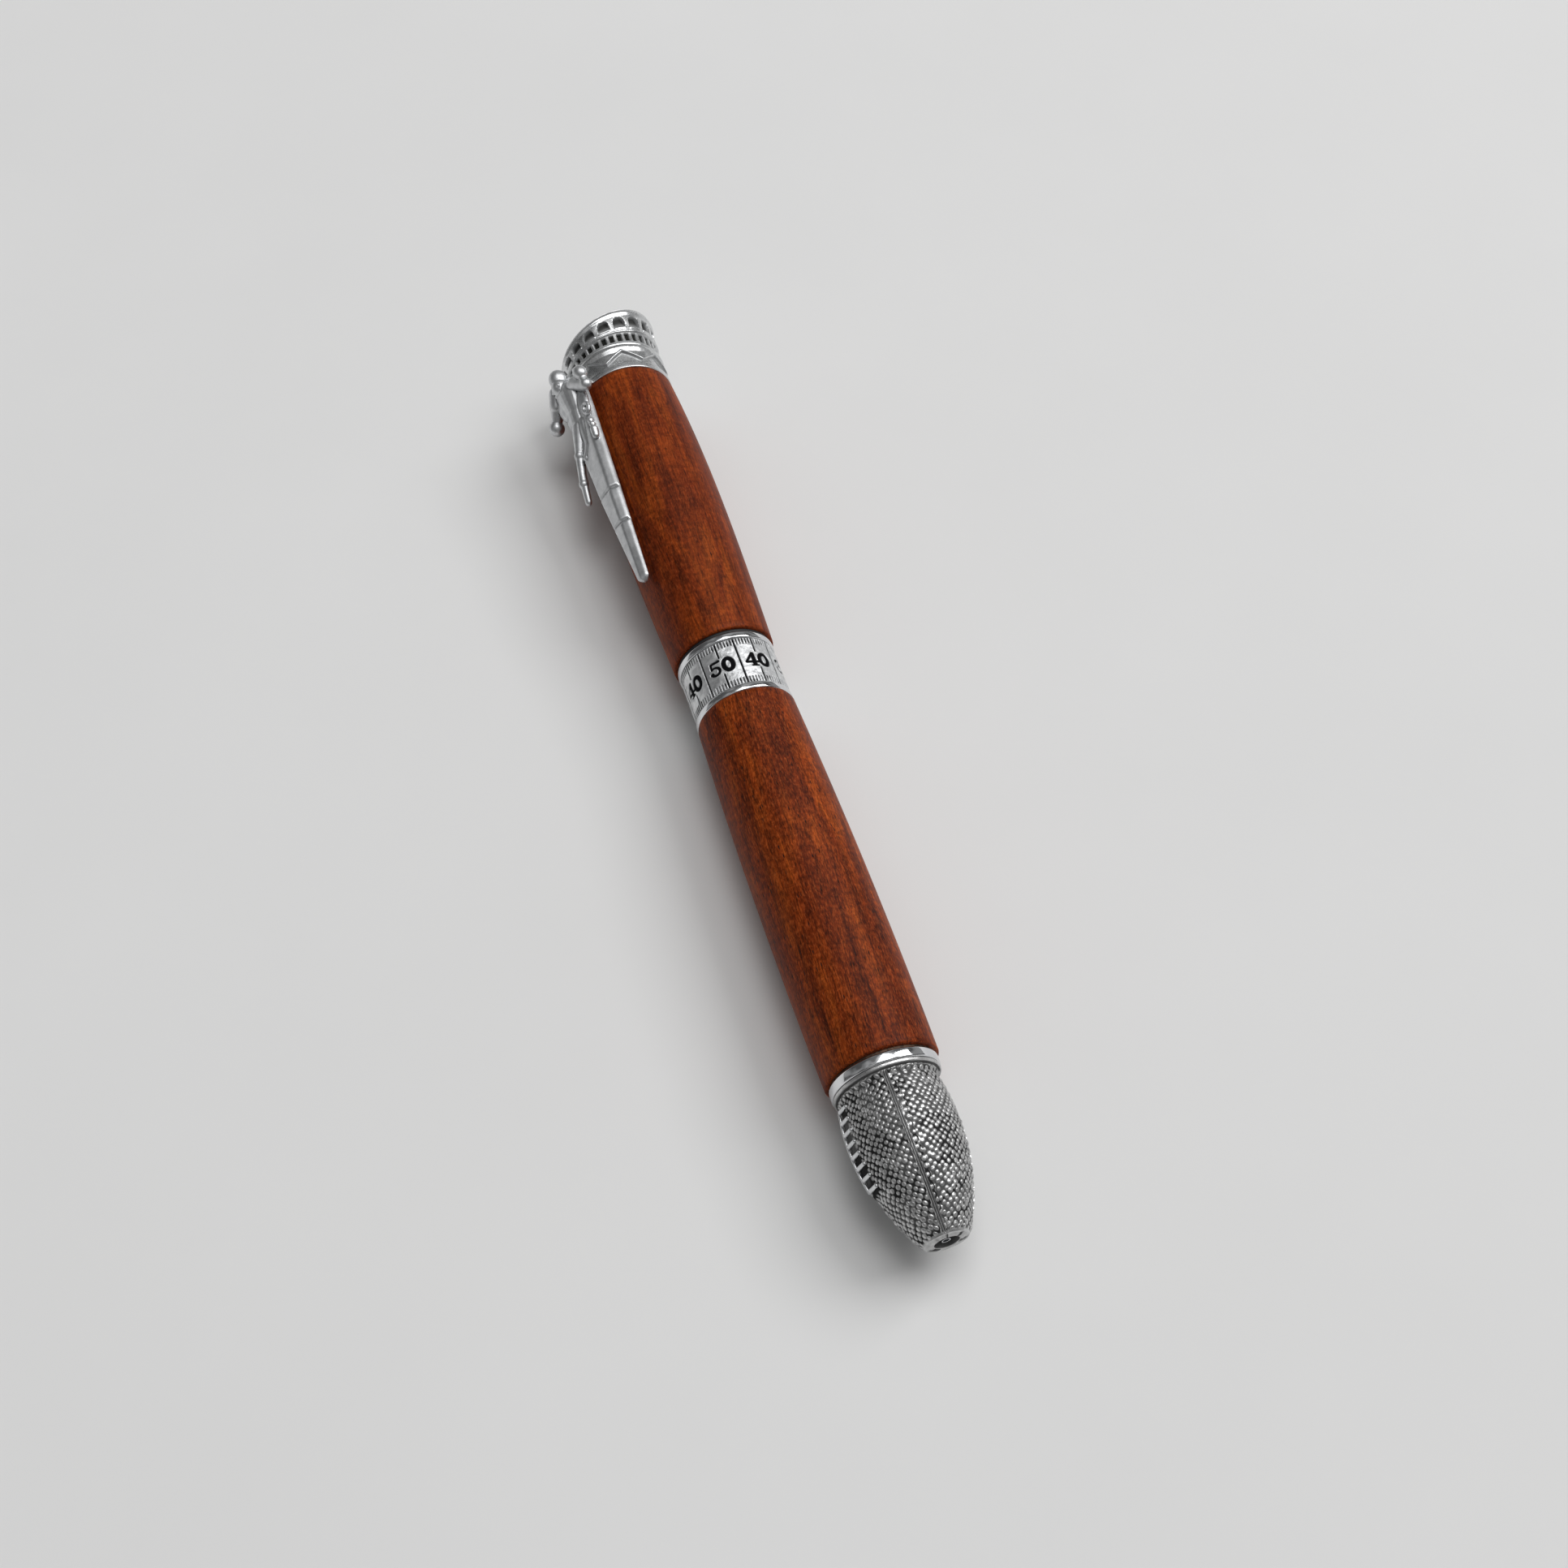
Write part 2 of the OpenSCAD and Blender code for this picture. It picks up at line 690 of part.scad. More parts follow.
module lead() {
    tip_gap = 0.35;
    color("black") ring(sleeve_x + tip_gap, shank_end + 0.4, lead_r);
}

module spare_leads() {
    spacing_r = 0.6;
    from = 28;
    length = 56;
    color("black") for (i = [0:spare_count - 1])
        turned(i * 120) translate([0, 0, spacing_r]) ring(from, from + length, lead_r);
}

nose_cone();
nose_ring();
front_coupler();
lower_wood();
lower_tube();
band_front_ring();
band_sleeve();
band_rear_ring();
centre_coupler();
guide_sleeve();
return_spring();
thrust_washer();
upper_wood();
upper_tube();
cam_sleeve();
clip();
finial();
finial_bushing();
finial_screw();
cartridge_tube();
cartridge_cone();
lead_sleeve();
lead_retainer();
collet_chuck();
clutch_ring();
lead_tube();
feed_spring();
feed_cap();
plunger();
cam_pin();
lead();
spare_leads();
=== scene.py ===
"""Looks of the twist-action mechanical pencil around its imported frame. Helpers work in millimetres."""
import json
import math

import bmesh
import bpy
import numpy as np
from mathutils import Matrix, Vector


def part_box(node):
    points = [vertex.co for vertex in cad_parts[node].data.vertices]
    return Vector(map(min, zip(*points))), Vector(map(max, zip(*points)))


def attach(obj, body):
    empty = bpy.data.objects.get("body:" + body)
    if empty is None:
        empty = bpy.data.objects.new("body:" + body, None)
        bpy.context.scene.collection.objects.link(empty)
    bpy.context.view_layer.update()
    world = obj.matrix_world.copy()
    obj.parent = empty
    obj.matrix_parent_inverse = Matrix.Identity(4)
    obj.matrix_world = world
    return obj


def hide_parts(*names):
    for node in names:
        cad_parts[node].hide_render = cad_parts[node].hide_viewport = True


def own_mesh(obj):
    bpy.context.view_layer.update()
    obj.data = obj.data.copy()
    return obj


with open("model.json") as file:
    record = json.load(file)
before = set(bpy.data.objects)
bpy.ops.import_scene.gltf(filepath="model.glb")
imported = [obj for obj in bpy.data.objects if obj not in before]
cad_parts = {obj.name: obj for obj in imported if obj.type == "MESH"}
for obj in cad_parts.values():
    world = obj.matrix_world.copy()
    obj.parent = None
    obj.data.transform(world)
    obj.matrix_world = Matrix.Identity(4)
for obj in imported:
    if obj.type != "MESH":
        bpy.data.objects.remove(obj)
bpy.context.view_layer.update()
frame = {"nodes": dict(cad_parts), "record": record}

MM = 0.001
TAU = 2 * math.pi
CAVITY = "cavity"


# ---------------------------------------------------------------- places, from the frame

def span(node):
    """Lowest x, highest x and largest radius of a node, in millimetres."""
    low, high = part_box(node)
    return low.x / MM, high.x / MM, high.z / MM


NOSE_X1 = span("nose_cone")[1]
UPPER_X1 = span("upper_wood")[1]
FIELD_X0, FIELD_X1, FIELD_R = span("band_sleeve")
BAND_R = span("band_front_ring")[2]
FINIAL_X0 = span("finial")[0]
TUBE_R = span("lower_tube")[2]
BODY_OF = {n: b for b, ns in frame["record"]["behaviour"]["bodies"].items() for n in ns}


# ---------------------------------------------------------------- small maths

def smooth(edge0, edge1, x):
    """0 below edge0, 1 above edge1 and a smooth step between."""
    t = np.clip((x - edge0) / (edge1 - edge0), 0, 1)
    return t * t * (3 - 2 * t)


def bump(distance, half_width):
    """A round-topped ridge, 1 at the middle and 0 at half_width."""
    t = np.clip(np.abs(distance) / half_width, 0, 1)
    return (1 - t * t) ** 2


def hashed(i, j, seed):
    """A repeatable number from 0 to 1 for each lattice cell."""
    v = np.sin(i * 127.1 + j * 311.7 + seed * 74.7) * 43758.5453
    return v - np.floor(v)


def wrapped(angle):
    """An angle brought to between -pi and pi."""
    return (angle + math.pi) % TAU - math.pi


def value_noise(u, v, seed):
    """Smooth noise from 0 to 1 on a unit lattice."""
    i, j = np.floor(u), np.floor(v)
    fu, fv = u - i, v - j
    fu, fv = fu * fu * (3 - 2 * fu), fv * fv * (3 - 2 * fv)
    low = hashed(i, j, seed) * (1 - fu) + hashed(i + 1, j, seed) * fu
    high = hashed(i, j + 1, seed) * (1 - fu) + hashed(i + 1, j + 1, seed) * fu
    return low * (1 - fv) + high * fv


# ---------------------------------------------------------------- mesh makers

def add_object(name, mesh, material, body, replaced=()):
    """Links a mesh as a piece that rides a body and stands in for the replaced CAD nodes."""
    obj = bpy.data.objects.new(name, mesh)
    bpy.context.scene.collection.objects.link(obj)
    if material is not None:
        mesh.materials.append(material)
    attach(obj, body)
    if replaced:
        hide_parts(*replaced)
    return obj


def mesh_from(name, verts, faces, sharp_deg):
    """A smooth-shaded mesh whose edges stay sharp above sharp_deg."""
    mesh = bpy.data.meshes.new(name)
    mesh.from_pydata([tuple(v) for v in verts], [], [tuple(f) for f in faces])
    mesh.validate()
    mesh.shade_smooth()
    if sharp_deg:
        mesh.set_sharp_from_angle(angle=math.radians(sharp_deg))
    mesh.update()
    return mesh


def ring_points(x, r, theta):
    """Points in metres at station x and radius r; theta runs from up towards the left (+Y)."""
    return np.stack([x * MM, r * np.sin(theta) * MM, r * np.cos(theta) * MM], axis=-1)


def grid_faces(rows, cols):
    """Quads of a grid that closes both ways, facing outwards for rows that run along +X."""
    here = np.arange(rows)[:, None] * cols
    there = (np.arange(rows)[:, None] + 1) % rows * cols
    j = np.arange(cols)[None, :]
    k = (j + 1) % cols
    return np.stack([here + j, there + j, there + k, here + k], axis=-1).reshape(-1, 4)


def shell(name, x, r, theta, sharp_deg):
    """A closed solid from grids of station and radius; the last row joins the first."""
    verts = ring_points(x, r, theta + 0 * r).reshape(-1, 3)
    return mesh_from(name, verts, grid_faces(*r.shape), sharp_deg)


def turned(outline, theta):
    """The grids of station and radius of an (x, r) outline turned through theta."""
    return [np.array([p[i] for p in outline])[:, None] + 0 * theta for i in (0, 1)]


def around(cols):
    """Even angles in a full turn, as a single row."""
    return np.linspace(0, TAU, cols, endpoint=False)[None, :]


def lathe(name, outline):
    """A closed turned solid; outline is a closed loop of (x, r), outer side first towards +X."""
    theta = around(256)
    return shell(name, *turned(outline, theta), theta, 40)


def tube_faces(rings, sides):
    """Quads of a tube of rings, with a flat face at each end."""
    faces = []
    for i in range(rings - 1):
        for k in range(sides):
            m = (k + 1) % sides
            faces.append((i * sides + k, i * sides + m, (i + 1) * sides + m, (i + 1) * sides + k))
    faces.append(tuple(reversed(range(sides))))
    faces.append(tuple((rings - 1) * sides + k for k in range(sides)))
    return faces


def set_cavity(mesh, values):
    """Stores the mask that says how dark each point of a cast surface is."""
    layer = mesh.attributes.new(CAVITY, "FLOAT", "POINT")
    layer.data.foreach_set("value", np.asarray(values, np.float32).ravel())


# ---------------------------------------------------------------- materials

def new_material(name):
    """A material with its node tree and its surface shader."""
    mat = bpy.data.materials.new(name)
    mat.use_nodes = True
    tree = mat.node_tree
    return mat, tree, tree.nodes["Principled BSDF"]


def node(tree, kind, **inputs):
    """A new shader node with some inputs set."""
    made = tree.nodes.new(kind)
    for key, value in inputs.items():
        made.inputs[key.replace("_", " ")].default_value = value
    return made


def object_mm(tree, scale=(1, 1, 1), offset=(0, 0, 0), tilt=(0, 0, 0)):
    """Object coordinates in millimetres, stretched by scale, moved and tilted."""
    coord = tree.nodes.new("ShaderNodeTexCoord")
    mapping = tree.nodes.new("ShaderNodeMapping")
    mapping.inputs["Scale"].default_value = [s / MM for s in scale]
    mapping.inputs["Location"].default_value = offset
    mapping.inputs["Rotation"].default_value = tilt
    tree.links.new(coord.outputs["Object"], mapping.inputs["Vector"])
    return mapping.outputs["Vector"]


def noise(tree, vector, scale, detail=4.0, roughness=0.5, distortion=0.0):
    """Fractal noise around 0.5."""
    n = node(tree, "ShaderNodeTexNoise", Scale=scale, Detail=detail, Roughness=roughness,
             Distortion=distortion)
    tree.links.new(vector, n.inputs["Vector"])
    return n.outputs["Fac"]


def ramp(tree, fac, stops):
    """A colour that follows fac through (position, colour) stops."""
    r = tree.nodes.new("ShaderNodeValToRGB")
    elements = r.color_ramp.elements
    while len(elements) < len(stops):
        elements.new(0.5)
    for element, (position, colour) in zip(elements, stops):
        element.position = position
        element.color = (*colour, 1)
    tree.links.new(fac, r.inputs["Fac"])
    return r.outputs["Color"]


def grey(v):
    return (v, v, v)


def mix(tree, fac, a, b, blend="MIX"):
    """Blends two colours; each input is a socket, a colour or a number."""
    m = tree.nodes.new("ShaderNodeMix")
    m.data_type = "RGBA"
    m.blend_type = blend
    for socket, value in ((m.inputs[0], fac), (m.inputs[6], a), (m.inputs[7], b)):
        if hasattr(value, "links"):
            tree.links.new(value, socket)
        elif isinstance(value, tuple):
            socket.default_value = (*value, 1)
        else:
            socket.default_value = value
    return m.outputs[2]


def one_minus(tree, value):
    """1 less a socket's value."""
    m = tree.nodes.new("ShaderNodeMath")
    m.operation = "SUBTRACT"
    m.inputs[0].default_value = 1.0
    tree.links.new(value, m.inputs[1])
    return m.outputs[0]


def bump_node(tree, height, strength, distance_mm, normal=None):
    """A normal that follows a height, on top of another normal if one is given."""
    b = node(tree, "ShaderNodeBump", Strength=strength, Distance=distance_mm * MM)
    tree.links.new(height, b.inputs["Height"])
    if normal is not None:
        tree.links.new(normal, b.inputs["Normal"])
    return b.outputs["Normal"]


def cavity_mask(tree):
    """The mesh's own mask of dark places, from 0 to 1."""
    a = tree.nodes.new("ShaderNodeAttribute")
    a.attribute_name = CAVITY
    return a.outputs["Fac"]


def metal(name, colour, dark, rough=(0.18, 0.32), grain_scale=1.2, bump_mm=0.004, stretch=(1, 1, 1),
          cavity=None, creases=False):
    """A clouded metal with a fine surface. A cavity colour fills the mesh's mask of dark fill and
    painted shade, and creases darken the mesh's own folds as patina and painted shade."""
    mat, tree, bsdf = new_material(name)
    vector = object_mm(tree, stretch)
    cloud = noise(tree, vector, grain_scale, 5.0, 0.6)
    fine = noise(tree, vector, grain_scale * 9, 3.0, 0.6)
    base = ramp(tree, cloud, [(0.3, dark), (0.7, colour)])
    if creases:
        # Patina and painted shade: the mesh's folds and hollows are darkened to near black.
        shape = tree.nodes.new("ShaderNodeNewGeometry")
        patina_and_crease_shade = ramp(tree, shape.outputs["Pointiness"], [(0.460, grey(0.08)), (0.496, grey(1.0))])
        base = mix(tree, 1.0, base, patina_and_crease_shade, "MULTIPLY")
    roughness = ramp(tree, fine, [(0.3, grey(rough[0])), (0.7, grey(rough[1]))])
    if cavity:
        mask = cavity_mask(tree)
        base = mix(tree, mask, base, cavity)
        roughness = mix(tree, mask, roughness, grey(0.85))
        bsdf.inputs["Specular IOR Level"].default_value = 0.08
        tree.links.new(one_minus(tree, mask), bsdf.inputs["Metallic"])
    else:
        bsdf.inputs["Metallic"].default_value = 1.0
    tree.links.new(base, bsdf.inputs["Base Color"])
    tree.links.new(roughness, bsdf.inputs["Roughness"])
    tree.links.new(bump_node(tree, fine, 0.5, bump_mm), bsdf.inputs["Normal"])
    return mat


def plain(name, colour, rough, scale=1.5, bump_mm=0.003, variation=0.12):
    """A moulded plastic or rubber with a faint mottle."""
    mat, tree, bsdf = new_material(name)
    vector = object_mm(tree)
    mottle = noise(tree, vector, scale, 4.0, 0.6)
    low = tuple(c * (1 - variation) for c in colour)
    tree.links.new(ramp(tree, mottle, [(0.3, low), (0.7, colour)]), bsdf.inputs["Base Color"])
    tree.links.new(ramp(tree, mottle, [(0.3, grey(rough * 0.85)), (0.7, grey(rough))]),
                   bsdf.inputs["Roughness"])
    tree.links.new(bump_node(tree, noise(tree, vector, scale * 8, 2.0), 0.4, bump_mm),
                   bsdf.inputs["Normal"])
    return mat


def wood_material(name, offset, tilt, flecks, grit):
    """Turned red-brown hardwood: streaks, growth rings, short fibres and dark pores along X."""
    mat, tree, bsdf = new_material(name)
    board = object_mm(tree, offset=offset, tilt=tilt)

    def stretched(along, across):
        """Board coordinates for a pattern with these frequencies along and across the grain."""
        s = tree.nodes.new("ShaderNodeMapping")
        s.inputs["Scale"].default_value = (along, across, across)
        tree.links.new(board, s.inputs["Vector"])
        return s.outputs["Vector"]

    broad = noise(tree, stretched(0.07, 0.42), 1.0, 3.0, 0.5, 0.9)
    streak = noise(tree, stretched(0.06, 1.15), 1.0, 4.0, 0.6, 1.2)
    thin = noise(tree, stretched(0.10, 4.6), 1.0, 3.0, 0.55, 0.6)
    vein = noise(tree, stretched(0.030, 0.85), 1.0, 2.0, 0.5, 1.6)
    fibre = noise(tree, stretched(1.6, 6.0), 1.0, 2.5, 0.6, 0.3)
    ripple = noise(tree, stretched(1.5, 0.7), 1.0, 4.0, 0.65, 0.8)

    base = ramp(tree, broad, [(0.32, (0.130, 0.0180, 0.0030)), (0.47, (0.195, 0.0290, 0.0038)),
                              (0.58, (0.250, 0.0410, 0.0048)), (0.72, (0.325, 0.0620, 0.0070))])
    shade = ramp(tree, streak, [(0.33, grey(0.42)), (0.44, grey(0.80)), (0.56, grey(1.0)),
                                (0.75, grey(1.14))])
    base = mix(tree, 0.65, base, shade, "MULTIPLY")
    line = ramp(tree, thin, [(0.32, grey(0.55)), (0.45, grey(0.95)), (0.68, grey(1.14))])
    base = mix(tree, 0.75, base, line, "MULTIPLY")
    ring = ramp(tree, vein, [(0.455, grey(1.08)), (0.485, grey(0.42)), (0.505, grey(0.95)),
                             (0.560, grey(1.0)), (0.580, grey(0.50)), (0.596, grey(1.08))])
    base = mix(tree, 0.85, base, ring, "MULTIPLY")
    hair = ramp(tree, fibre, [(0.34, grey(0.42)), (0.46, grey(0.94)), (0.66, grey(1.55))])
    base = mix(tree, grit, base, hair, "MULTIPLY")
    pale = ramp(tree, fibre, [(0.52, grey(0.0)), (0.72, grey(0.46 * grit))])
    base = mix(tree, pale, base, (0.38, 0.112, 0.034))
    # Painted sheen: the ripple figure's light and dark bands stand in for the wood's chatoyance.
    painted_ripple_sheen = ramp(tree, ripple, [(0.36, grey(0.70)), (0.64, grey(1.30))])
    base = mix(tree, 0.8, base, painted_ripple_sheen, "MULTIPLY")

    pores = tree.nodes.new("ShaderNodeTexVoronoi")
    pores.feature = "F1"
    pores.inputs["Scale"].default_value = 1.0
    tree.links.new(stretched(0.5, 2.1), pores.inputs["Vector"])
    pore = ramp(tree, pores.outputs["Distance"], [(0.08, grey(1.0)), (0.20, grey(0.0))])
    place = noise(tree, stretched(0.22, 0.5), 1.0, 2.0)
    rarity = ramp(tree, place, [(0.56 - flecks, grey(0.0)), (0.66 - flecks, grey(1.0))])
    pore = mix(tree, 1.0, pore, rarity, "MULTIPLY")
    base = mix(tree, pore, base, (0.012, 0.004, 0.002))
    tree.links.new(base, bsdf.inputs["Base Color"])

    rough = ramp(tree, fibre, [(0.3, grey(0.40)), (0.7, grey(0.54))])
    tree.links.new(rough, bsdf.inputs["Roughness"])
    bsdf.inputs["Specular IOR Level"].default_value = 0.10
    first = bump_node(tree, fibre, 0.5, 0.03)
    tree.links.new(bump_node(tree, one_minus(tree, pore), 0.6, 0.05, first), bsdf.inputs["Normal"])
    return mat


def floor_material():
    """Matt white paper with a faint cloudiness."""
    mat, tree, bsdf = new_material("floor_paper")
    coord = tree.nodes.new("ShaderNodeTexCoord")
    cloud = noise(tree, coord.outputs["Object"], 18.0, 5.0, 0.6)
    tree.links.new(ramp(tree, cloud, [(0.3, (0.840, 0.840, 0.837)), (0.7, (0.860, 0.860, 0.857))]),
                   bsdf.inputs["Base Color"])
    bsdf.inputs["Roughness"].default_value = 0.8
    bsdf.inputs["Specular IOR Level"].default_value = 0.2
    return mat


CHROME = metal("polished_chrome", (0.84, 0.85, 0.86), (0.70, 0.71, 0.73), (0.05, 0.12), 0.5, 0.0015)
BRIGHT = metal("bright_pewter", (0.82, 0.83, 0.84), (0.62, 0.63, 0.64), (0.24, 0.40), 0.9, 0.008)
FINIAL = metal("finial_pewter", (0.80, 0.81, 0.81), (0.56, 0.57, 0.58), (0.20, 0.38), 1.1, 0.010,
               cavity=(0.020, 0.020, 0.018))
# The clip's cast pewter, its creases darkened as patina and painted shade.
CAST = metal("cast_pewter", (0.76, 0.77, 0.78), (0.54, 0.55, 0.56), (0.34, 0.52), 0.9, 0.01,
             creases=True)
PEBBLED = metal("antique_pewter", (0.74, 0.74, 0.74), (0.44, 0.44, 0.44), (0.22, 0.42), 1.0, 0.03,
                cavity=(0.026, 0.026, 0.026))
ENGRAVED = metal("engraved_pewter", (0.88, 0.89, 0.90), (0.66, 0.67, 0.68), (0.30, 0.48), 2.2, 0.03,
                 cavity=(0.004, 0.004, 0.005))
BRASS = metal("drawn_brass", (0.78, 0.56, 0.24), (0.60, 0.42, 0.17), (0.22, 0.38), 0.5, 0.002,
              (0.2, 1.5, 1.5))
DARK_BRASS = metal("tarnished_coupler", (0.16, 0.10, 0.07), (0.04, 0.03, 0.025), (0.4, 0.6), 2.0, 0.02)
STEEL = metal("drawn_steel", (0.66, 0.67, 0.69), (0.52, 0.53, 0.55), (0.18, 0.30), 0.5, 0.002,
              (0.2, 1.5, 1.5))
SPRING = metal("spring_wire", (0.56, 0.57, 0.59), (0.42, 0.43, 0.45), (0.20, 0.32), 1.0, 0.001)
ACETAL = plain("black_acetal", (0.008, 0.008, 0.009), 0.6)
WHITE = plain("white_plastic", (0.80, 0.80, 0.77), 0.35, variation=0.05)
RUBBER = plain("soft_rubber", (0.03, 0.03, 0.03), 0.7)
GRAPHITE = plain("graphite_lead", (0.035, 0.035, 0.04), 0.42, 4.0)
LOWER_WOOD = wood_material("lower_barrel_wood", (0.0, 2.3, 0.0), (0.0, 0.04, 0.05), 0.15, 0.85)
UPPER_WOOD = wood_material("upper_barrel_wood", (37.0, 6.1, 1.5), (0.0, -0.03, 0.03), -0.04, 0.5)

SLOT_MATERIALS = {
    "antique_pewter": PEBBLED, "bright_pewter": BRIGHT, "polished_chrome": CHROME,
    "barrel_wood": LOWER_WOOD, "brass": BRASS, "drawn_steel": STEEL, "spring_steel": SPRING,
    "black_acetal": ACETAL, "white_plastic": WHITE, "rubber": RUBBER, "graphite": GRAPHITE,
}


def dress_cad_nodes():
    """Every carried-over CAD node takes the material of its slot."""
    slots = {s["node"]: s["material_slot"] for s in frame["record"]["subparts"]}
    for name, obj in frame["nodes"].items():
        obj.data.materials.clear()
        obj.data.materials.append(SLOT_MATERIALS[slots[name]])
    frame["nodes"]["front_coupler"].data.materials[0] = DARK_BRASS


# ---------------------------------------------------------------- nose

SEAM_ANGLE = math.radians(8)
LACE_ANGLE = math.radians(84)
NOSE_MAX_R = 6.03
NOSE_MAX_X = 12.7
NOSE_ARC_R = 25.0
WAIST_X = 18.25
COLLAR_R = 6.2
MOUTH_BORE_R = 1.42
MOUTH_WALL_X = 4.0
SPRING_BORE_R = 2.75
SPRING_BORE_X = 10.0
PASSAGE_R = 3.3
SOCKET_R = 4.12
SOCKET_X = 12.5


def nose_radius(x):
    """The football's outline, one arc that is widest at NOSE_MAX_X."""
    return NOSE_MAX_R - NOSE_ARC_R + np.sqrt(NOSE_ARC_R ** 2 - (x - NOSE_MAX_X) ** 2)


def pebbles(x, across, seed):
    """Height from 0 to 1 of a diamond lattice of round grains of uneven size, place and level."""
    pitch = 0.60
    grain_r = 0.305
    jitter = 0.30
    best = np.zeros_like(x)
    a = (x + across) / (math.sqrt(2) * pitch)
    b = (x - across) / (math.sqrt(2) * pitch)
    ia, ib = np.floor(a), np.floor(b)
    for da in (0, 1):
        for db in (0, 1):
            ca, cb = ia + da, ib + db
            ja = ca + (hashed(ca, cb, seed) - 0.5) * jitter
            jb = cb + (hashed(ca, cb, seed + 1) - 0.5) * jitter
            size = grain_r * (0.86 + 0.30 * hashed(ca, cb, seed + 2)) / pitch
            d = np.hypot(a - ja, b - jb) / size
            level = 0.82 + 0.18 * hashed(ca, cb, seed + 3)
            best = np.maximum(best, level * np.clip(1 - d ** 2.6, 0, 1) ** 0.75)
    return best


def make_nose():
    """The football: pebbled panels between four seams, a lace bed, a collar and a stepped bore."""
    rows, cols = 300, 860
    mouth_edge = 0.14
    skin = 0.09
    seam_bed, seam_flank = 0.12, 0.27
    seam_gap = (0.20, 0.30)
    pebble_height, grit_height, bed_height, groove_depth = 0.16, 0.045, 0.26, 0.12
    flare, flare_x = 0.45, 17.5
    bed_half, bed_x0, bed_x1 = (1.12, 1.26), (6.7, 7.0), (17.3, 17.5)

    theta = around(cols)
    x = np.linspace(mouth_edge, WAIST_X, rows)[:, None] + 0 * theta
    r = nose_radius(x) + flare * smooth(flare_x, WAIST_X, x)
    quarter = math.pi / 2
    panel = np.floor((theta - SEAM_ANGLE) / quarter)
    in_panel = (theta - SEAM_ANGLE) - panel * quarter
    to_seam = np.minimum(in_panel, quarter - in_panel) * r
    across = (in_panel - quarter / 2) * r
    grain = pebbles(x, across + panel * 13.0, 5)

    body = smooth(0.2, 0.5, x) * (1 - smooth(WAIST_X - 0.16, WAIST_X - 0.04, x))
    lace_side = np.abs(wrapped(theta - LACE_ANGLE)) * r
    lace_bed = (1 - smooth(*bed_half, lace_side)) * smooth(*bed_x0, x) * (1 - smooth(*bed_x1, x))
    open_leather = body * (1 - lace_bed)
    field = smooth(*seam_gap, to_seam) * open_leather
    groove = bump(to_seam - seam_bed, 0.07) * body
    height = (pebble_height * grain * field + bed_height * lace_bed - groove_depth * groove
              + 0.08 * bump(to_seam - seam_flank, 0.11) * open_leather
              + 0.07 * bump(to_seam, 0.08) * body
              + 0.012 * (value_noise(x * 3, theta * r * 1.2, 3) - 0.5)
              + grit_height * field * (value_noise(x * 5.5, theta * r * 5.5, 6) - 0.5))
    outer = r - skin + height

    # The lace bed is painted dark as the shade under the stitches.
    cavity = np.clip(field * (1 - smooth(0.15, 0.78, grain)) + groove + lace_bed, 0, 1)
    # Random blotches of darker patina.
    patina_and_crease_shade = smooth(0.45, 0.75, value_noise(x * 0.7, theta * r * 0.5, 9))
    cavity = np.clip(cavity * (0.85 + 0.2 * patina_and_crease_shade) + 0.10 * patina_and_crease_shade, 0, 1)

    collar = [(WAIST_X + 0.04, 5.74), (WAIST_X + 0.07, 5.74), (WAIST_X + 0.10, 5.98),
              (WAIST_X + 0.13, 6.10), (WAIST_X + 0.19, COLLAR_R), (NOSE_X1 - 0.10, COLLAR_R),
              (NOSE_X1, COLLAR_R - 0.13)]
    inside = [(NOSE_X1, SOCKET_R), (SOCKET_X, SOCKET_R), (SOCKET_X, PASSAGE_R),
              (SPRING_BORE_X, PASSAGE_R), (SPRING_BORE_X, SPRING_BORE_R),
              (MOUTH_WALL_X, SPRING_BORE_R), (MOUTH_WALL_X, MOUTH_BORE_R)]
    mouth = [(0.10, MOUTH_BORE_R), (0.03, MOUTH_BORE_R + 0.03), (0.0, MOUTH_BORE_R + 0.12),
             (0.0, 1.80), (0.03, 1.92), (0.11, 2.08)]
    tx, tr = turned(collar + inside + mouth, theta)
    n_collar, n_bore = len(collar), len(collar) + len(inside)
    tr[:n_collar] += 0.02 * (value_noise(tx[:n_collar] * 2, theta * 14 + 0 * tx[:n_collar], 21) - 0.5)
    mesh = shell("nose_shell", np.vstack([x, tx]), np.vstack([outer, tr]), theta, 50)

    # Painted shade in the step at the collar's foot, at its edge under the trim ring, down the bore and
    # at the mouth's inner edge; random tarnish on the mouth's face.
    tail_shade_and_tarnish = np.full(tx.shape, 0.05)
    tail_shade_and_tarnish[0:3] = 0.8
    tail_shade_and_tarnish[n_collar - 1] = 0.8
    tail_shade_and_tarnish[n_collar:n_bore] = 0.85
    tail_shade_and_tarnish[n_bore] = 0.7
    tarnish = smooth(0.50, 0.68, value_noise(tx + 7.0, theta * 3.1 + 0 * tx, 17))
    tail_shade_and_tarnish[-4:] = 0.15 + 0.75 * tarnish[-4:]
    set_cavity(mesh, np.vstack([cavity, tail_shade_and_tarnish]))
    add_object("football_nose", mesh, PEBBLED, BODY_OF["nose_cone"], ["nose_cone"])


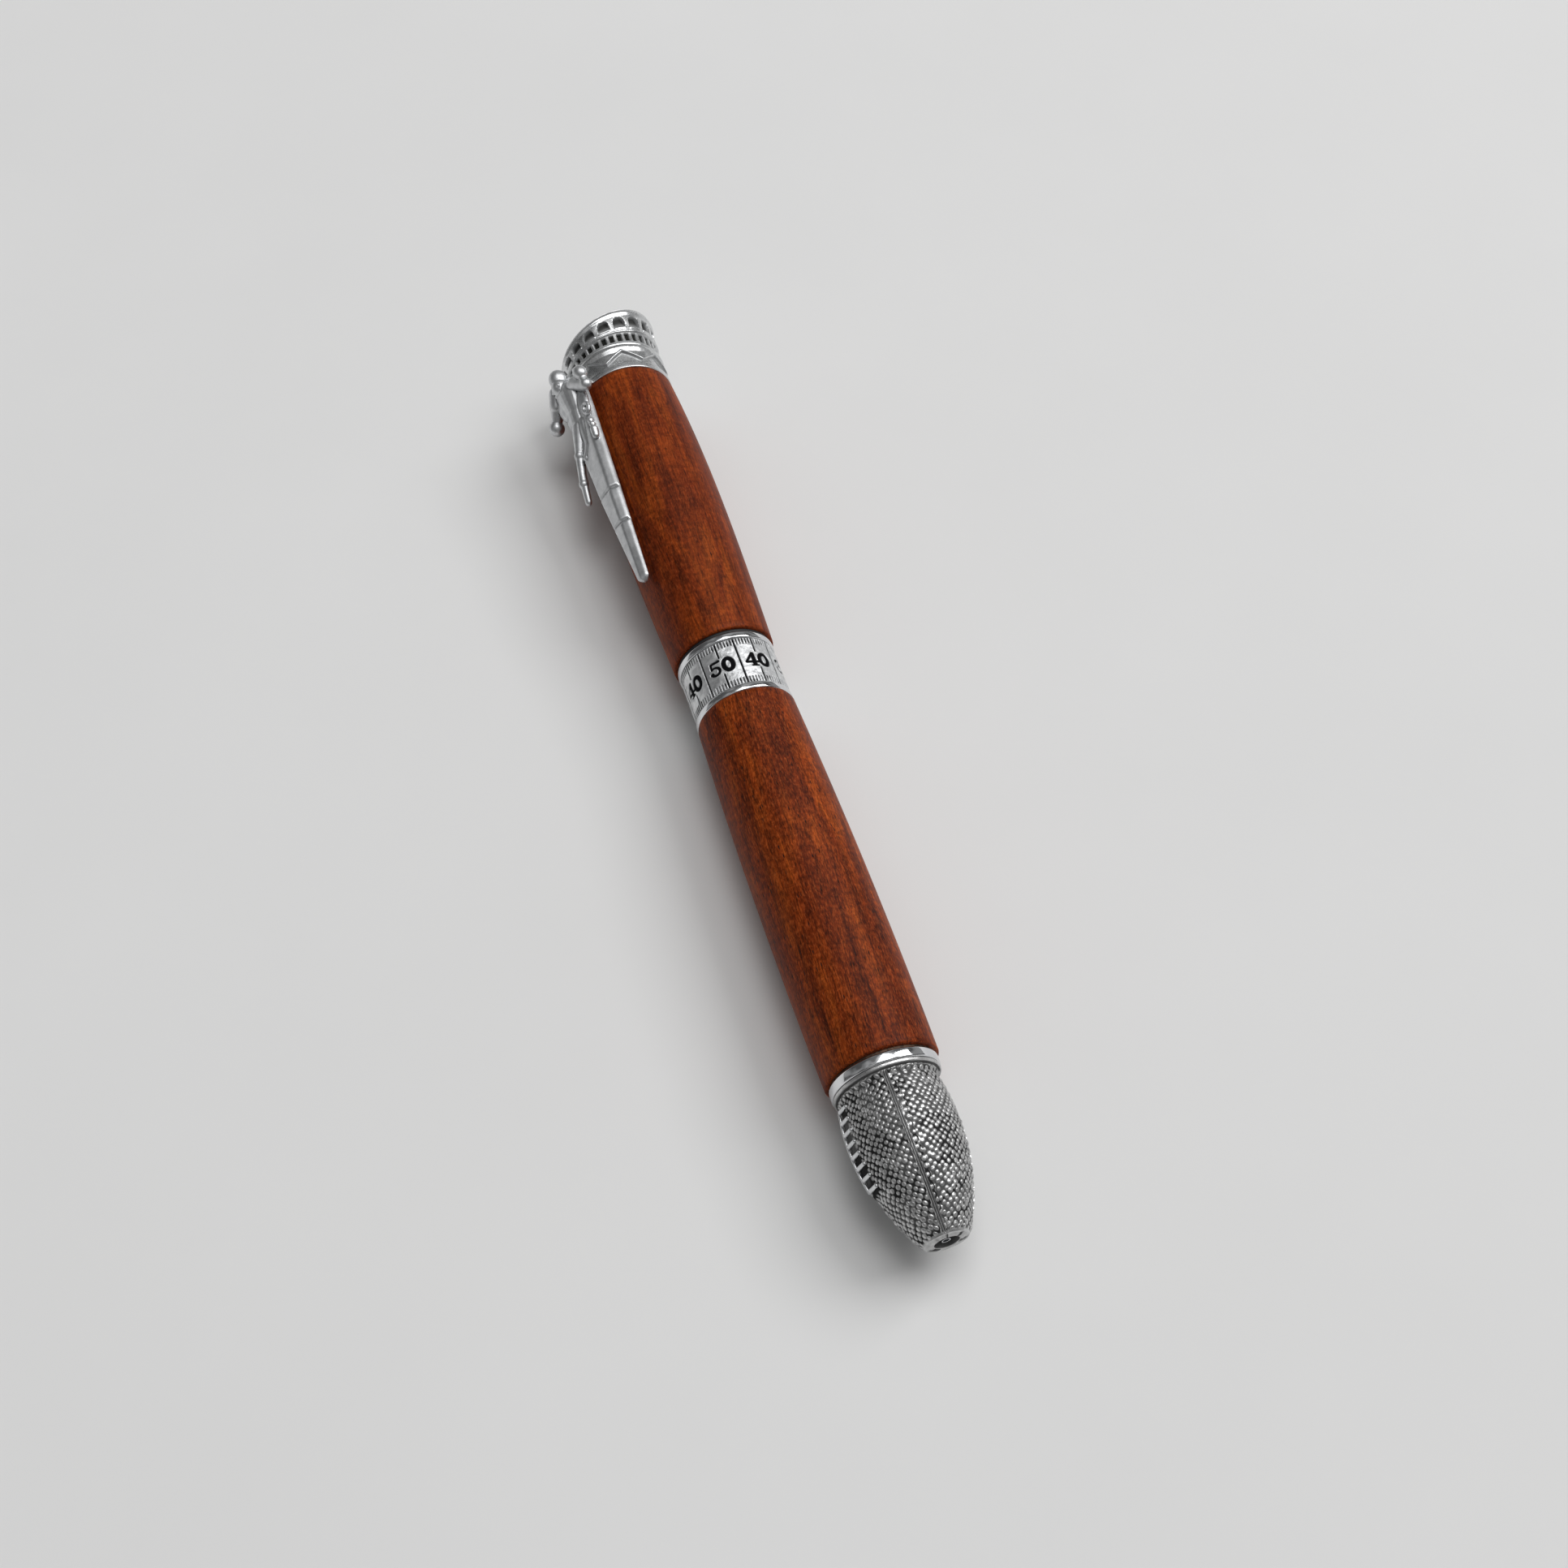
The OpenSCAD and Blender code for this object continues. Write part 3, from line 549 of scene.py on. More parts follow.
def capsule(name, p, q, r, segments=20, rounds=7):
    """A round-ended bar from p to q in millimetres."""
    p, q = Vector(p), Vector(q)
    axis = (q - p).normalized()
    side = axis.orthogonal().normalized()
    up = axis.cross(side)
    pole = 0.12
    verts = []
    stations = [(p, -math.cos(a), math.sin(a)) for a in np.linspace(pole, math.pi / 2, rounds)]
    stations += [(q, math.sin(a), math.cos(a)) for a in np.linspace(0, math.pi / 2 - pole, rounds)]
    for centre, along, out in stations:
        for k in range(segments):
            a = TAU * k / segments
            spoke = side * math.cos(a) + up * math.sin(a)
            verts.append((centre + axis * along * r + spoke * out * r) * MM)
    return mesh_from(name, verts, tube_faces(len(stations), segments), 60)


def on_surface(x, theta, r):
    """The point at station x, angle theta and radius r."""
    return (x, r * math.sin(theta), r * math.cos(theta))


def join_meshes(name, meshes):
    """One smooth-shaded mesh from several, which are removed."""
    bm = bmesh.new()
    for m in meshes:
        bm.from_mesh(m)
        bpy.data.meshes.remove(m)
    joined = bpy.data.meshes.new(name)
    bm.to_mesh(joined)
    bm.free()
    joined.shade_smooth()
    joined.set_sharp_from_angle(angle=math.radians(50))
    return joined


def make_laces():
    """Eight stitches over a raised bed painted dark as the shade under them, held by one cord behind
    them.
    """
    count, pitch, first_x = 8, 1.35, 7.6
    half_length, stitch_r, stitch_lift = 1.20, 0.26, 0.36
    cord_r, cord_lift, cord_side = 0.16, 0.42, 0.55
    bars = []
    for i in range(count):
        x = first_x + i * pitch
        r = float(nose_radius(x))
        a = half_length / r
        mid = on_surface(x, LACE_ANGLE, r + stitch_lift)
        bars.append(capsule("stitch", on_surface(x, LACE_ANGLE - a, r), mid, stitch_r))
        bars.append(capsule("stitch", mid, on_surface(x, LACE_ANGLE + a, r), stitch_r))
        if i + 1 < count:
            ends = []
            for at in (x, x + pitch):
                behind = float(nose_radius(at)) + cord_lift
                ends.append(on_surface(at, LACE_ANGLE + cord_side / behind, behind))
            bars.append(capsule("cord", ends[0], ends[1], cord_r, 14, 4))
    add_object("football_laces", join_meshes("laces", bars), BRIGHT, BODY_OF["nose_cone"])


# ---------------------------------------------------------------- rings, woods and washer

WASHER_BORE_R = 4.68
WASHER_DROP = 0.15
CROWN = 0.015
SKIN = 0.002


def rounded_ring(x0, x1, outer, inner, edge, crown=0.0):
    """Outline of a ring with rounded outer edges and a slight crown."""
    steps = 5
    points = [(x0, inner)]
    for a in np.linspace(0, math.pi / 2, steps + 1):
        points.append((x0 + edge - edge * math.cos(a), outer - crown - edge + edge * math.sin(a)))
    for t in (0.25, 0.5, 0.75):
        points.append((x0 + edge + (x1 - x0 - 2 * edge) * t,
                       outer - crown + crown * 4 * t * (1 - t)))
    for a in np.linspace(math.pi / 2, 0, steps + 1):
        points.append((x1 - edge + edge * math.cos(a), outer - crown - edge + edge * math.sin(a)))
    points.append((x1, inner))
    return points


def make_rings():
    """The three polished trim rings, and the washer a little below them."""
    inner = {"nose_ring": SOCKET_R, "band_front_ring": BAND_BORE_R, "band_rear_ring": BAND_BORE_R,
             "thrust_washer": WASHER_BORE_R}
    looks = [("nose_ring", "nose_trim_ring", CHROME, "polished_chrome", 0.22),
             ("band_front_ring", "band_lower_trim", CHROME, "polished_chrome", 0.18),
             ("band_rear_ring", "band_upper_trim", CHROME, "polished_chrome", 0.18),
             ("thrust_washer", "parting_washer", ACETAL, "black_acetal", 0.1)]
    for cad, name, material, slot, edge in looks:
        x0, x1, r = span(cad)
        if cad == "thrust_washer":
            r -= WASHER_DROP
        mesh = lathe(name, rounded_ring(x0, x1, r, inner[cad], edge, CROWN))
        add_object(name, mesh, material, BODY_OF[cad], [cad])


def curve_radius(t, r0, a, b, r1):
    """A cubic curve from r0 to r1 with handles a and b."""
    return r0 * (1 - t) ** 3 + 3 * a * t * (1 - t) ** 2 + 3 * b * t ** 2 * (1 - t) + r1 * t ** 3


def make_wood(cad, name, radii, material):
    """A turned barrel, a hair inside its CAD outline."""
    x0, x1 = span(cad)[:2]
    edge, bevel, bevel_r, gap = 0.2, 0.05, 0.08, 0.02
    steps = 72
    outline = [(x0, TUBE_R + gap), (x0, radii[0] - edge), (x0 + bevel, radii[0] - bevel_r)]
    for i in range(steps + 1):
        t = i / steps
        outline.append((x0 + edge + (x1 - x0 - 2 * edge) * t, curve_radius(t, *radii) - SKIN))
    outline += [(x1 - bevel, radii[3] - bevel_r), (x1, radii[3] - edge), (x1, TUBE_R + gap)]
    add_object(name, lathe(name, outline), material, BODY_OF[cad], [cad])


# ---------------------------------------------------------------- centre band

BAND_ZERO = math.radians(16.4)
LINE_COUNT = 16
YARDS = ("50", "40", "30", "20", "10", "20", "30", "40")
BAND_BORE_R = 4.9
FAR = 9.0


def ellipse_distance(u, v, cu, cv, ru, rv):
    """Rough signed distance to an ellipse."""
    return (np.hypot((u - cu) / ru, (v - cv) / rv) - 1) * min(ru, rv)


def bar_distance(u, v, p, q, half_p, half_q):
    """Signed distance to a tapered round-ended bar."""
    (pu, pv), (qu, qv) = p, q
    du, dv = qu - pu, qv - pv
    t = np.clip(((u - pu) * du + (v - pv) * dv) / (du * du + dv * dv), 0, 1)
    return np.hypot(u - pu - t * du, v - pv - t * dv) - (half_p + (half_q - half_p) * t)


def arc_distance(u, v, centre, radii, start, end, half_start, half_end):
    """Signed distance to a bent bar made of short bars along an arc, degrees anticlockwise."""
    steps = 12
    points = []
    for i in range(steps + 1):
        t = i / steps
        a = math.radians(start + (end - start) * t)
        half = half_start + (half_end - half_start) * t
        points.append(((centre[0] + radii[0] * math.cos(a), centre[1] + radii[1] * math.sin(a)), half))
    return np.minimum.reduce([bar_distance(u, v, p, q, half_p, half_q)
                              for (p, half_p), (q, half_q) in zip(points, points[1:])])


def digit_distance(u, v, digit):
    """Signed distance to a bold serif numeral about 1.3 wide and 1.9 high, centred."""
    def ellipse(*shape):
        return ellipse_distance(u, v, *shape)

    def bar(*shape):
        return bar_distance(u, v, *shape)

    def arc(*shape):
        return arc_distance(u, v, *shape)

    if digit == "0":
        return np.maximum(ellipse(0, 0, 0.62, 0.93), -ellipse(0, 0, 0.27, 0.66))
    if digit == "1":
        strokes = [bar((0.02, -0.75), (0.02, 0.75), 0.17, 0.17),
                   bar((-0.02, 0.76), (-0.34, 0.52), 0.12, 0.05),
                   bar((-0.36, -0.83), (0.40, -0.83), 0.08, 0.08)]
    elif digit == "2":
        strokes = [arc((0.0, 0.38), (0.40, 0.44), 170, -45, 0.10, 0.18),
                   bar((0.27, 0.06), (-0.48, -0.72), 0.16, 0.07),
                   bar((-0.46, -0.78), (0.44, -0.76), 0.10, 0.16),
                   ellipse(-0.38, 0.42, 0.16, 0.16)]
    elif digit == "3":
        strokes = [arc((-0.04, 0.42), (0.38, 0.40), 160, -80, 0.08, 0.12),
                   arc((-0.06, -0.40), (0.46, 0.46), 85, -165, 0.12, 0.09),
                   ellipse(-0.38, 0.50, 0.15, 0.15), ellipse(-0.46, -0.46, 0.16, 0.16)]
    elif digit == "4":
        strokes = [bar((0.22, -0.72), (0.22, 0.80), 0.18, 0.16),
                   bar((0.18, 0.84), (-0.58, -0.28), 0.08, 0.07),
                   bar((-0.56, -0.32), (0.60, -0.32), 0.10, 0.10),
                   bar((-0.08, -0.84), (0.52, -0.84), 0.07, 0.07)]
    else:
        strokes = [bar((-0.30, 0.78), (0.46, 0.82), 0.10, 0.13),
                   bar((-0.33, 0.78), (-0.37, 0.10), 0.07, 0.06),
                   arc((-0.06, -0.30), (0.46, 0.50), 130, -150, 0.08, 0.12),
                   ellipse(-0.44, -0.50, 0.17, 0.17)]
    return np.minimum.reduce(strokes)


def make_band_field():
    """The yard-line sleeve: engraved lines, a number on every other one, and ticks along both edges."""
    rows, cols = 150, 900
    wide, tall, bold = 1.30, 1.08, 0.055
    digit_shifts, clear_across, clear_up = (-0.87, 0.85), 1.7, 1.16
    line_half, line_margin = 0.105, 0.12
    ticks_between, tick_half, tick_length, tick_margin = 5, 0.08, 0.98, 0.14
    skin, hammer_height, rim_height = 0.02, 0.065, 0.012
    line_depth, tick_depth, edge_depth = 0.11, 0.09, 0.12

    theta = around(cols)
    x = np.linspace(FIELD_X0, FIELD_X1, rows)[:, None] + 0 * theta
    half = (FIELD_X1 - FIELD_X0) / 2
    up = x - (FIELD_X0 + FIELD_X1) / 2
    step = TAU / LINE_COUNT
    turn = (BAND_ZERO - theta) / step + 0 * x
    nearest = np.round(turn)
    off_line = (turn - nearest) * step * FIELD_R

    engraved = np.full(x.shape, FAR)
    clear = np.full(x.shape, FAR)
    for k, number in enumerate(YARDS):
        across = wrapped(BAND_ZERO - k * 2 * step - theta) * FIELD_R + 0 * x
        for digit, shift in zip(number, digit_shifts):
            u, v = (across - shift) / wide, up / tall
            near = (np.abs(u) < 1.2) & (np.abs(v) < 1.5)
            d = np.full(u.shape, FAR)
            d[near] = digit_distance(u[near], v[near], digit) * tall - bold
            engraved = np.minimum(engraved, d)
        clear = np.minimum(clear, np.maximum(np.abs(across) - clear_across, np.abs(up) - clear_up))

    line = np.maximum(np.abs(off_line) - line_half, np.abs(up) - (half - line_margin))
    line = np.where((nearest % 2 == 0) & (clear < 0), np.maximum(line, -clear), line)
    engraved = np.minimum(engraved, line)

    tick_turn = turn * (ticks_between + 1)
    off_tick = (tick_turn - np.round(tick_turn)) * step / (ticks_between + 1) * FIELD_R
    from_edge = half - np.abs(up)
    tick = np.maximum(np.abs(off_tick) - tick_half,
                      np.maximum(from_edge - tick_length, tick_margin - from_edge))

    hammer = (0.6 * value_noise(x * 1.3, theta * FIELD_R * 1.3, 31)
              + 0.4 * value_noise(x * 3.1, theta * FIELD_R * 3.1, 32))
    cut = 1 - smooth(-0.02, 0.035, engraved)
    tick_cut = 1 - smooth(-0.02, 0.04, tick)
    edge_groove = bump(from_edge, 0.13)
    r = (FIELD_R - skin + hammer_height * (hammer - 0.5) + rim_height * bump(engraved - 0.06, 0.06)
         - line_depth * cut - tick_depth * tick_cut - edge_depth * edge_groove)
    worn = value_noise(x * 2.0, theta * FIELD_R * 1.1, 33)
    dark = np.clip(cut * 1.15 + tick_cut * (0.6 + 0.4 * worn) * (1 - cut) + 0.8 * edge_groove, 0, 1)
    dark = np.clip(dark + 0.22 * smooth(0.55, 0.8, worn) * (1 - cut), 0, 1)

    ex, er = turned([(FIELD_X1, BAND_BORE_R), (FIELD_X0, BAND_BORE_R)], theta)
    mesh = shell("band_field", np.vstack([x, ex]), np.vstack([np.minimum(r, BAND_R), er]), theta, 60)
    set_cavity(mesh, np.vstack([dark, np.zeros(ex.shape)]))
    add_object("yard_line_band", mesh, ENGRAVED, BODY_OF["band_sleeve"],
               ["band_sleeve"])


# ---------------------------------------------------------------- finial

RIM_HIGH = math.radians(-75)
RIM_SLANT = math.radians(15.5)
RIM_X = UPPER_X1 + 9.2
RIM_R = 6.9
DRUM_R = 6.34
ARCHES = 18
WINDOWS = 36
GABLES = 8
GABLE_ANGLE = math.radians(-6.3)


def from_mark(theta, zero, count, radius):
    """Distance along a circle from the nearest of count even marks, the first of them at zero."""
    marks = wrapped(theta - zero) / (TAU / count)
    return (marks - np.round(marks)) * TAU / count * radius


def make_finial():
    """The stadium: gabled foot, window storey and arcade between ledges, slanted rim, stepped bowl."""
    rows, cols, foot_rows, foot_x = 170, 640, 0.36, 3.6
    rim_drop, rim_flare = 0.12, 0.85
    gable_r, window_r, arch_r, hole_r = 6.4, 6.45, 6.7, 3.02
    roof_top, roof_slope, shoulder_x = 2.55, 0.62, 3.15
    window_half, window_at, window_half_up, window_depth = 0.33, 0.235, 0.105, 0.34
    arch_half, arch_foot, arch_spring, arch_rise = 0.84, 0.53, 0.545, 0.27

    theta = around(cols)
    t = np.linspace(0, 1, rows)[:, None]
    tilt = np.cos(theta - RIM_HIGH)
    rim = RIM_X + RIM_R * math.tan(RIM_SLANT) * tilt - rim_drop
    straight = FINIAL_X0 + foot_x
    x = np.where(t < foot_rows, FINIAL_X0 + foot_x * (t / foot_rows) + 0 * theta,
                 straight + (rim - straight) * (t - foot_rows) / (1 - foot_rows))
    share = np.clip((x - straight) / (rim - straight), 0, 1)
    up = x - FINIAL_X0

    r = DRUM_R + 0.10 * (1 - smooth(0.30, 0.42, up))
    r = r + (RIM_R - DRUM_R) * smooth(0.15, 1.0, share) * rim_flare
    eave = up - roof_top + roof_slope * np.abs(from_mark(theta, GABLE_ANGLE, GABLES, gable_r))
    under = smooth(0.55, 0.75, up) * (1 - smooth(-0.28, -0.12, eave))
    r = r + 0.22 * bump(eave, 0.30) * smooth(0.5, 0.8, up) - 0.16 * under
    r = r + 0.20 * bump(up - shoulder_x, 0.75)
    for ledge_at, half, height in ((0.04, 0.05, 0.16), (0.40, 0.045, 0.20), (0.93, 0.085, 0.14)):
        r = r + height * bump(share - ledge_at, half)

    window = np.maximum(np.abs(from_mark(theta, 0, WINDOWS, window_r)) - window_half,
                        (np.abs(share - window_at) - window_half_up) * 5.5)
    across = np.abs(from_mark(theta, RIM_HIGH, ARCHES, arch_r))
    arch_top = arch_spring + arch_rise * np.clip(1 - (across / 0.86) ** 4, 0, 1) ** 0.35
    arch = np.maximum(across - arch_half, np.maximum(share - arch_top, arch_foot - share) * 5.5)
    window_cut = 1 - smooth(-0.06, 0.05, window)
    arch_cut = 1 - smooth(-0.08, 0.06, arch)
    recess = smooth(0.50, 0.74, share)
    sill = bump(share - 0.505, 0.04) * (1 - smooth(0.8, 0.95, across))
    r = r - window_depth * window_cut - arch_cut * (0.16 + 0.42 * recess) + 0.10 * sill
    r = r + 0.03 * (value_noise(x * 1.6, theta * 6.5 * 1.6 + 0 * x, 41) - 0.5)
    r[-1:] = np.minimum(r[-1:], RIM_R)
    # Windows and arch recesses are darkened as patina and painted shade, the arches more towards their
    # tops where shade falls; a band under the eaves is painted shade, and two thin lines at the window
    # storey's edges are darkened too.
    mask = np.clip(window_cut + arch_cut * (0.25 + 0.7 * recess)
                   + 0.5 * under * bump(eave + 0.2, 0.25), 0, 1)
    mask = np.clip(mask + 0.35 * bump(share - 0.115, 0.05) + 0.35 * bump(share - 0.34, 0.04), 0, 1)

    lip, tiers, tier_drop = 0.16, 3, 0.8
    bowl = [(0.05, RIM_R - lip * 0.3), (0.12, RIM_R - lip), (0.12, 6.25), (0.05, 6.1)]
    for i in range(tiers):
        low, tier_r = 0.06 - tier_drop * (i + 1), 6.1 - i
        bowl += [(low + 0.06, tier_r - 0.04), (low, tier_r - 0.12), (low, tier_r - 0.94)]
    bowl += [(low - 0.05, radius) for radius in (2.2, 1.1, 0.02)]
    bx, br = turned(bowl, theta)
    bx = bx + RIM_X - rim_drop + br * math.tan(RIM_SLANT) * tilt
    hole_x = FINIAL_X0 + 2.5
    kx, kr = turned([(hole_x, 0.02), (hole_x, hole_r), (FINIAL_X0, hole_r), (FINIAL_X0, 6.3)], theta)
    mesh = shell("finial_shell", np.vstack([x, bx, kx]), np.vstack([r, br, kr]), theta, 55)
    # The bowl inside the rim is darkened a quarter as painted shade.
    set_cavity(mesh, np.vstack([mask, np.full(bx.shape, 0.25), np.zeros(kx.shape)]))
    add_object("stadium_finial", mesh, FINIAL, BODY_OF["finial"], ["finial"])


# ---------------------------------------------------------------- clip

CLIP_ANGLE = math.radians(57)
CLIP_TURN = Matrix.Rotation(-CLIP_ANGLE, 4, "X")


def tapered(bm, p, q, rp, rq, flat=1.0):
    """Adds a round-ended tapered bar between two points [x, sideways, outwards] in millimetres."""
    segments, rounds, pole = 20, 6, 0.1
    p, q = Vector(p), Vector(q)
    axis = (q - p).normalized()
    up = Vector((0, 0, 1))
    side = axis.cross(up)
    side = side.normalized() if side.length > 0.05 else Vector((0, 1, 0))
    up = side.cross(axis)
    rings = []
    for a in np.linspace(pole, math.pi / 2, rounds):
        rings.append((p, -math.cos(a) * rp, math.sin(a) * rp))
    for a in np.linspace(0, math.pi / 2 - pole, rounds):
        rings.append((q, math.sin(a) * rq, math.cos(a) * rq))
    loops = []
    for centre, along, out in rings:
        loop = []
        for k in range(segments):
            a = TAU * k / segments
            spoke = side * math.cos(a) + up * math.sin(a) * flat
            loop.append(bm.verts.new((centre + axis * along + spoke * out) * MM))
        loops.append(loop)
    for low, high in zip(loops, loops[1:]):
        for k in range(segments):
            m = (k + 1) % segments
            bm.faces.new((low[k], low[m], high[m], high[k]))
    bm.faces.new(list(reversed(loops[0])))
    bm.faces.new(loops[-1])


def ball(bm, centre, radii, turn=Matrix.Identity(4)):
    """Adds an ellipsoid in millimetres."""
    size = Matrix.Diagonal((radii[0] * MM, radii[1] * MM, radii[2] * MM, 1))
    m = Matrix.Translation(Vector(centre) * MM) @ turn @ size
    bmesh.ops.create_uvsphere(bm, u_segments=28, v_segments=18, radius=1.0, matrix=m)


def player(bm):
    """A generic helmeted player with the ball raised, in relief on the blade."""
    hip = Vector((116.6, 0.7, 8.7))
    waist = Vector((118.8, 0.5, 8.75))
    chest = Vector((121.8, 0.4, 8.9))
    tapered(bm, waist, hip, 1.5, 1.3, 0.7)
    tapered(bm, chest, waist, 2.1, 1.55, 0.62)
    ball(bm, (122.4, 0.4, 9.0), (1.6, 2.3, 1.15))
    ball(bm, (119.6, -0.4, 8.5), (3.4, 2.0, 0.75))
    ball(bm, (121.2, 1.5, 8.9), (2.6, 1.5, 0.95))
    ball(bm, (118.4, 1.5, 8.6), (2.2, 0.9, 0.85))
    # helmet with its face guard
    ball(bm, (125.1, 0.6, 9.5), (1.45, 1.25, 1.28))
    ball(bm, (123.7, 0.7, 9.6), (1.35, 1.15, 1.15))
    tapered(bm, (123.3, 0.0, 10.4), (123.3, 1.5, 10.3), 0.24, 0.24)
    tapered(bm, (122.7, 0.2, 10.1), (122.7, 1.5, 10.0), 0.22, 0.22)
    # the arm on the open side of the barrel, and the ball over it
    ball(bm, (122.3, -1.5, 9.1), (1.0, 1.15, 0.9))
    tapered(bm, (122.2, -1.7, 9.1), (120.5, -3.35, 8.9), 0.9, 0.85)
    ball(bm, (120.35, -3.6, 9.0), (0.85, 0.8, 0.8))
    tapered(bm, (120.4, -3.5, 9.0), (121.7, -3.6, 9.15), 0.65, 0.6)
    ball(bm, (122.35, -3.6, 9.3), (1.15, 0.95, 0.95), Matrix.Rotation(0.4, 4, "Z"))
    # the other arm down to the fist
    ball(bm, (124.0, 2.1, 9.2), (1.1, 1.05, 1.0))
    tapered(bm, (124.0, 2.1, 9.1), (122.4, 2.9, 9.1), 1.2, 1.15)
    tapered(bm, (122.4, 2.9, 9.1), (121.0, 4.4, 8.95), 1.1, 0.72)
    ball(bm, (120.45, 4.85, 8.85), (1.1, 1.04, 1.04))
    # legs: thigh, calf and boot
    tapered(bm, hip, (112.9, 2.3, 8.95), 1.1, 0.66)
    ball(bm, (113.0, 2.25, 9.1), (0.75, 0.72, 0.66))
    tapered(bm, (112.9, 2.3, 8.95), (110.4, 3.2, 8.9), 0.66, 0.55)
    tapered(bm, (110.4, 3.2, 8.9), (109.2, 3.5, 8.85), 0.55, 0.62)
    ball(bm, (109.2, 3.5, 8.9), (0.72, 0.66, 0.66))
    tapered(bm, (108.8, 3.6, 8.8), (106.7, 4.15, 8.6), 0.58, 0.5, 0.85)
    tapered(bm, hip - Vector((0, 0.8, 0.1)), (113.1, 0.2, 8.55), 1.0, 0.7, 0.8)
    tapered(bm, (113.1, 0.2, 8.6), (112.0, 1.2, 8.7), 0.6, 0.5)
    ball(bm, (111.8, 1.3, 8.8), (0.6, 0.5, 0.5))
    # scroll, beads and a drop along the blade's open edge
    loop_x, loop_y, loop_r, links = 117.6, -1.95, 0.78, 10
    ring = [(loop_x + loop_r * math.cos(TAU * i / links),
             loop_y + 0.75 * loop_r * math.sin(TAU * i / links), 8.9) for i in range(links + 1)]
    for here, there in zip(ring, ring[1:]):
        tapered(bm, here, there, 0.3, 0.3)
    ball(bm, (115.5, -1.85, 8.85), (0.42, 0.42, 0.45))
    ball(bm, (114.75, -1.95, 8.85), (0.42, 0.42, 0.45))
    tapered(bm, (113.9, -1.95, 8.85), (112.9, -1.85, 8.85), 0.55, 0.45)


def blade_section(half_w, bottom, top, cut):
    """Corner points (sideways, outwards) of the blade: flat face, wide bevel on the open side."""
    bevel_y, bevel_z, edge = min(0.85, half_w), 0.45 * (top - bottom), 0.22
    return [(half_w, bottom), (half_w, top - edge), (half_w - edge, top - 0.02 - 0.3 * cut),
            (0.25 * half_w, top - 0.6 * cut), (bevel_y - half_w, top - cut),
            (0.15 - half_w, top - bevel_z - cut), (-half_w, top - bevel_z - 0.25 - 0.5 * cut),
            (-half_w, bottom)]


def rounded_loop(corners):
    """The corner loop with each corner replaced by a short curve."""
    per_corner, reach = 4, 0.3
    points = []
    n = len(corners)
    for i in range(n):
        before, here, after = (Vector(corners[k % n]) for k in (i - 1, i, i + 1))
        start, end = here.lerp(before, reach), here.lerp(after, reach)
        for k in range(per_corner):
            t = k / (per_corner - 1)
            points.append(start * (1 - t) ** 2 + here * 2 * t * (1 - t) + end * t * t)
    return points


def blade(bm):
    """The clip's blade as stacked cross-sections, from the rounded tip to the root."""
    bottom, tip_x, bend_x, root_x = 7.5, 90.0, 104.0, FINIAL_X0 + 0.85
    tip_length, tip_round, station = 0.9, 0.8, 0.14
    groove_depth, groove_half, grooves = 0.34, 0.34, (99.3, 104.6)
    loops = []
    near = np.linspace(0.0, 1.0, 9)[:-1] * tip_length
    stations = np.concatenate([tip_x + near, np.arange(tip_x + tip_length, root_x, station), [root_x]])
    for x in stations:
        t = min(1.0, (x - tip_x) / (bend_x - tip_x))
        u = min(1.0, max(0.0, (x - bend_x) / (root_x - 6.0 - bend_x)))
        half_w = 0.8 + 0.85 * t + 0.65 * u
        thick = 0.9 + 0.58 * t + 0.05 * u
        round_off = math.sqrt(max(0.0, 1 - (1 - min(1.0, (x - tip_x) / tip_round)) ** 2))
        half_w *= max(round_off, 0.3)
        top = bottom + thick * (0.55 + 0.45 * round_off)
        cut = groove_depth * sum(float(bump(x - groove_x, groove_half)) for groove_x in grooves)
        loop = [bm.verts.new((x * MM, p[0] * MM, p[1] * MM))
                for p in rounded_loop(blade_section(half_w, bottom, top, cut))]
        loops.append(loop)
    sides = len(loops[0])
    for low, high in zip(loops, loops[1:]):
        for k in range(sides):
            m = (k + 1) % sides
            bm.faces.new((low[k], high[k], high[m], low[m]))
    bm.faces.new(loops[0])
    bm.faces.new(list(reversed(loops[-1])))


def make_clip():
    """The clip's blade, player and tab fused into one casting, and the turned ring that holds it."""
    voxel, smoothing = 0.06, 9
    tab_size, tab_out, tab_in = (0.6, 4.0, 3.4), 6.3, 0.3
    bm = bmesh.new()
    blade(bm)
    player(bm)
    tab = Matrix.Translation(Vector((UPPER_X1 + tab_in, 0, tab_out)) * MM) @ Matrix.Diagonal(
        [side * MM for side in tab_size] + [1])
    bmesh.ops.create_cube(bm, size=1.0, matrix=tab)
    bmesh.ops.recalc_face_normals(bm, faces=bm.faces)
    mesh = bpy.data.meshes.new("clip_casting")
    bm.to_mesh(mesh)
    bm.free()
    mesh.transform(CLIP_TURN)
    obj = add_object("player_clip", mesh, None, BODY_OF["clip"])
    remesh = obj.modifiers.new("fuse", "REMESH")
    remesh.mode = "VOXEL"
    remesh.voxel_size = voxel * MM
    soften = obj.modifiers.new("soften", "SMOOTH")
    soften.factor = 0.5
    soften.iterations = smoothing
    baked = bpy.data.meshes.new_from_object(
        obj.evaluated_get(bpy.context.evaluated_depsgraph_get()))
    obj.modifiers.clear()
    obj.data = baked
    baked.materials.clear()
    baked.materials.append(CAST)
    baked.shade_smooth()
    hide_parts("clip")
    ring = lathe("clip_ring", rounded_ring(UPPER_X1, FINIAL_X0, 6.5, 3.3, 0.14))
    add_object("clip_mounting_ring", ring, BRIGHT, BODY_OF["clip"])


# ---------------------------------------------------------------- springs

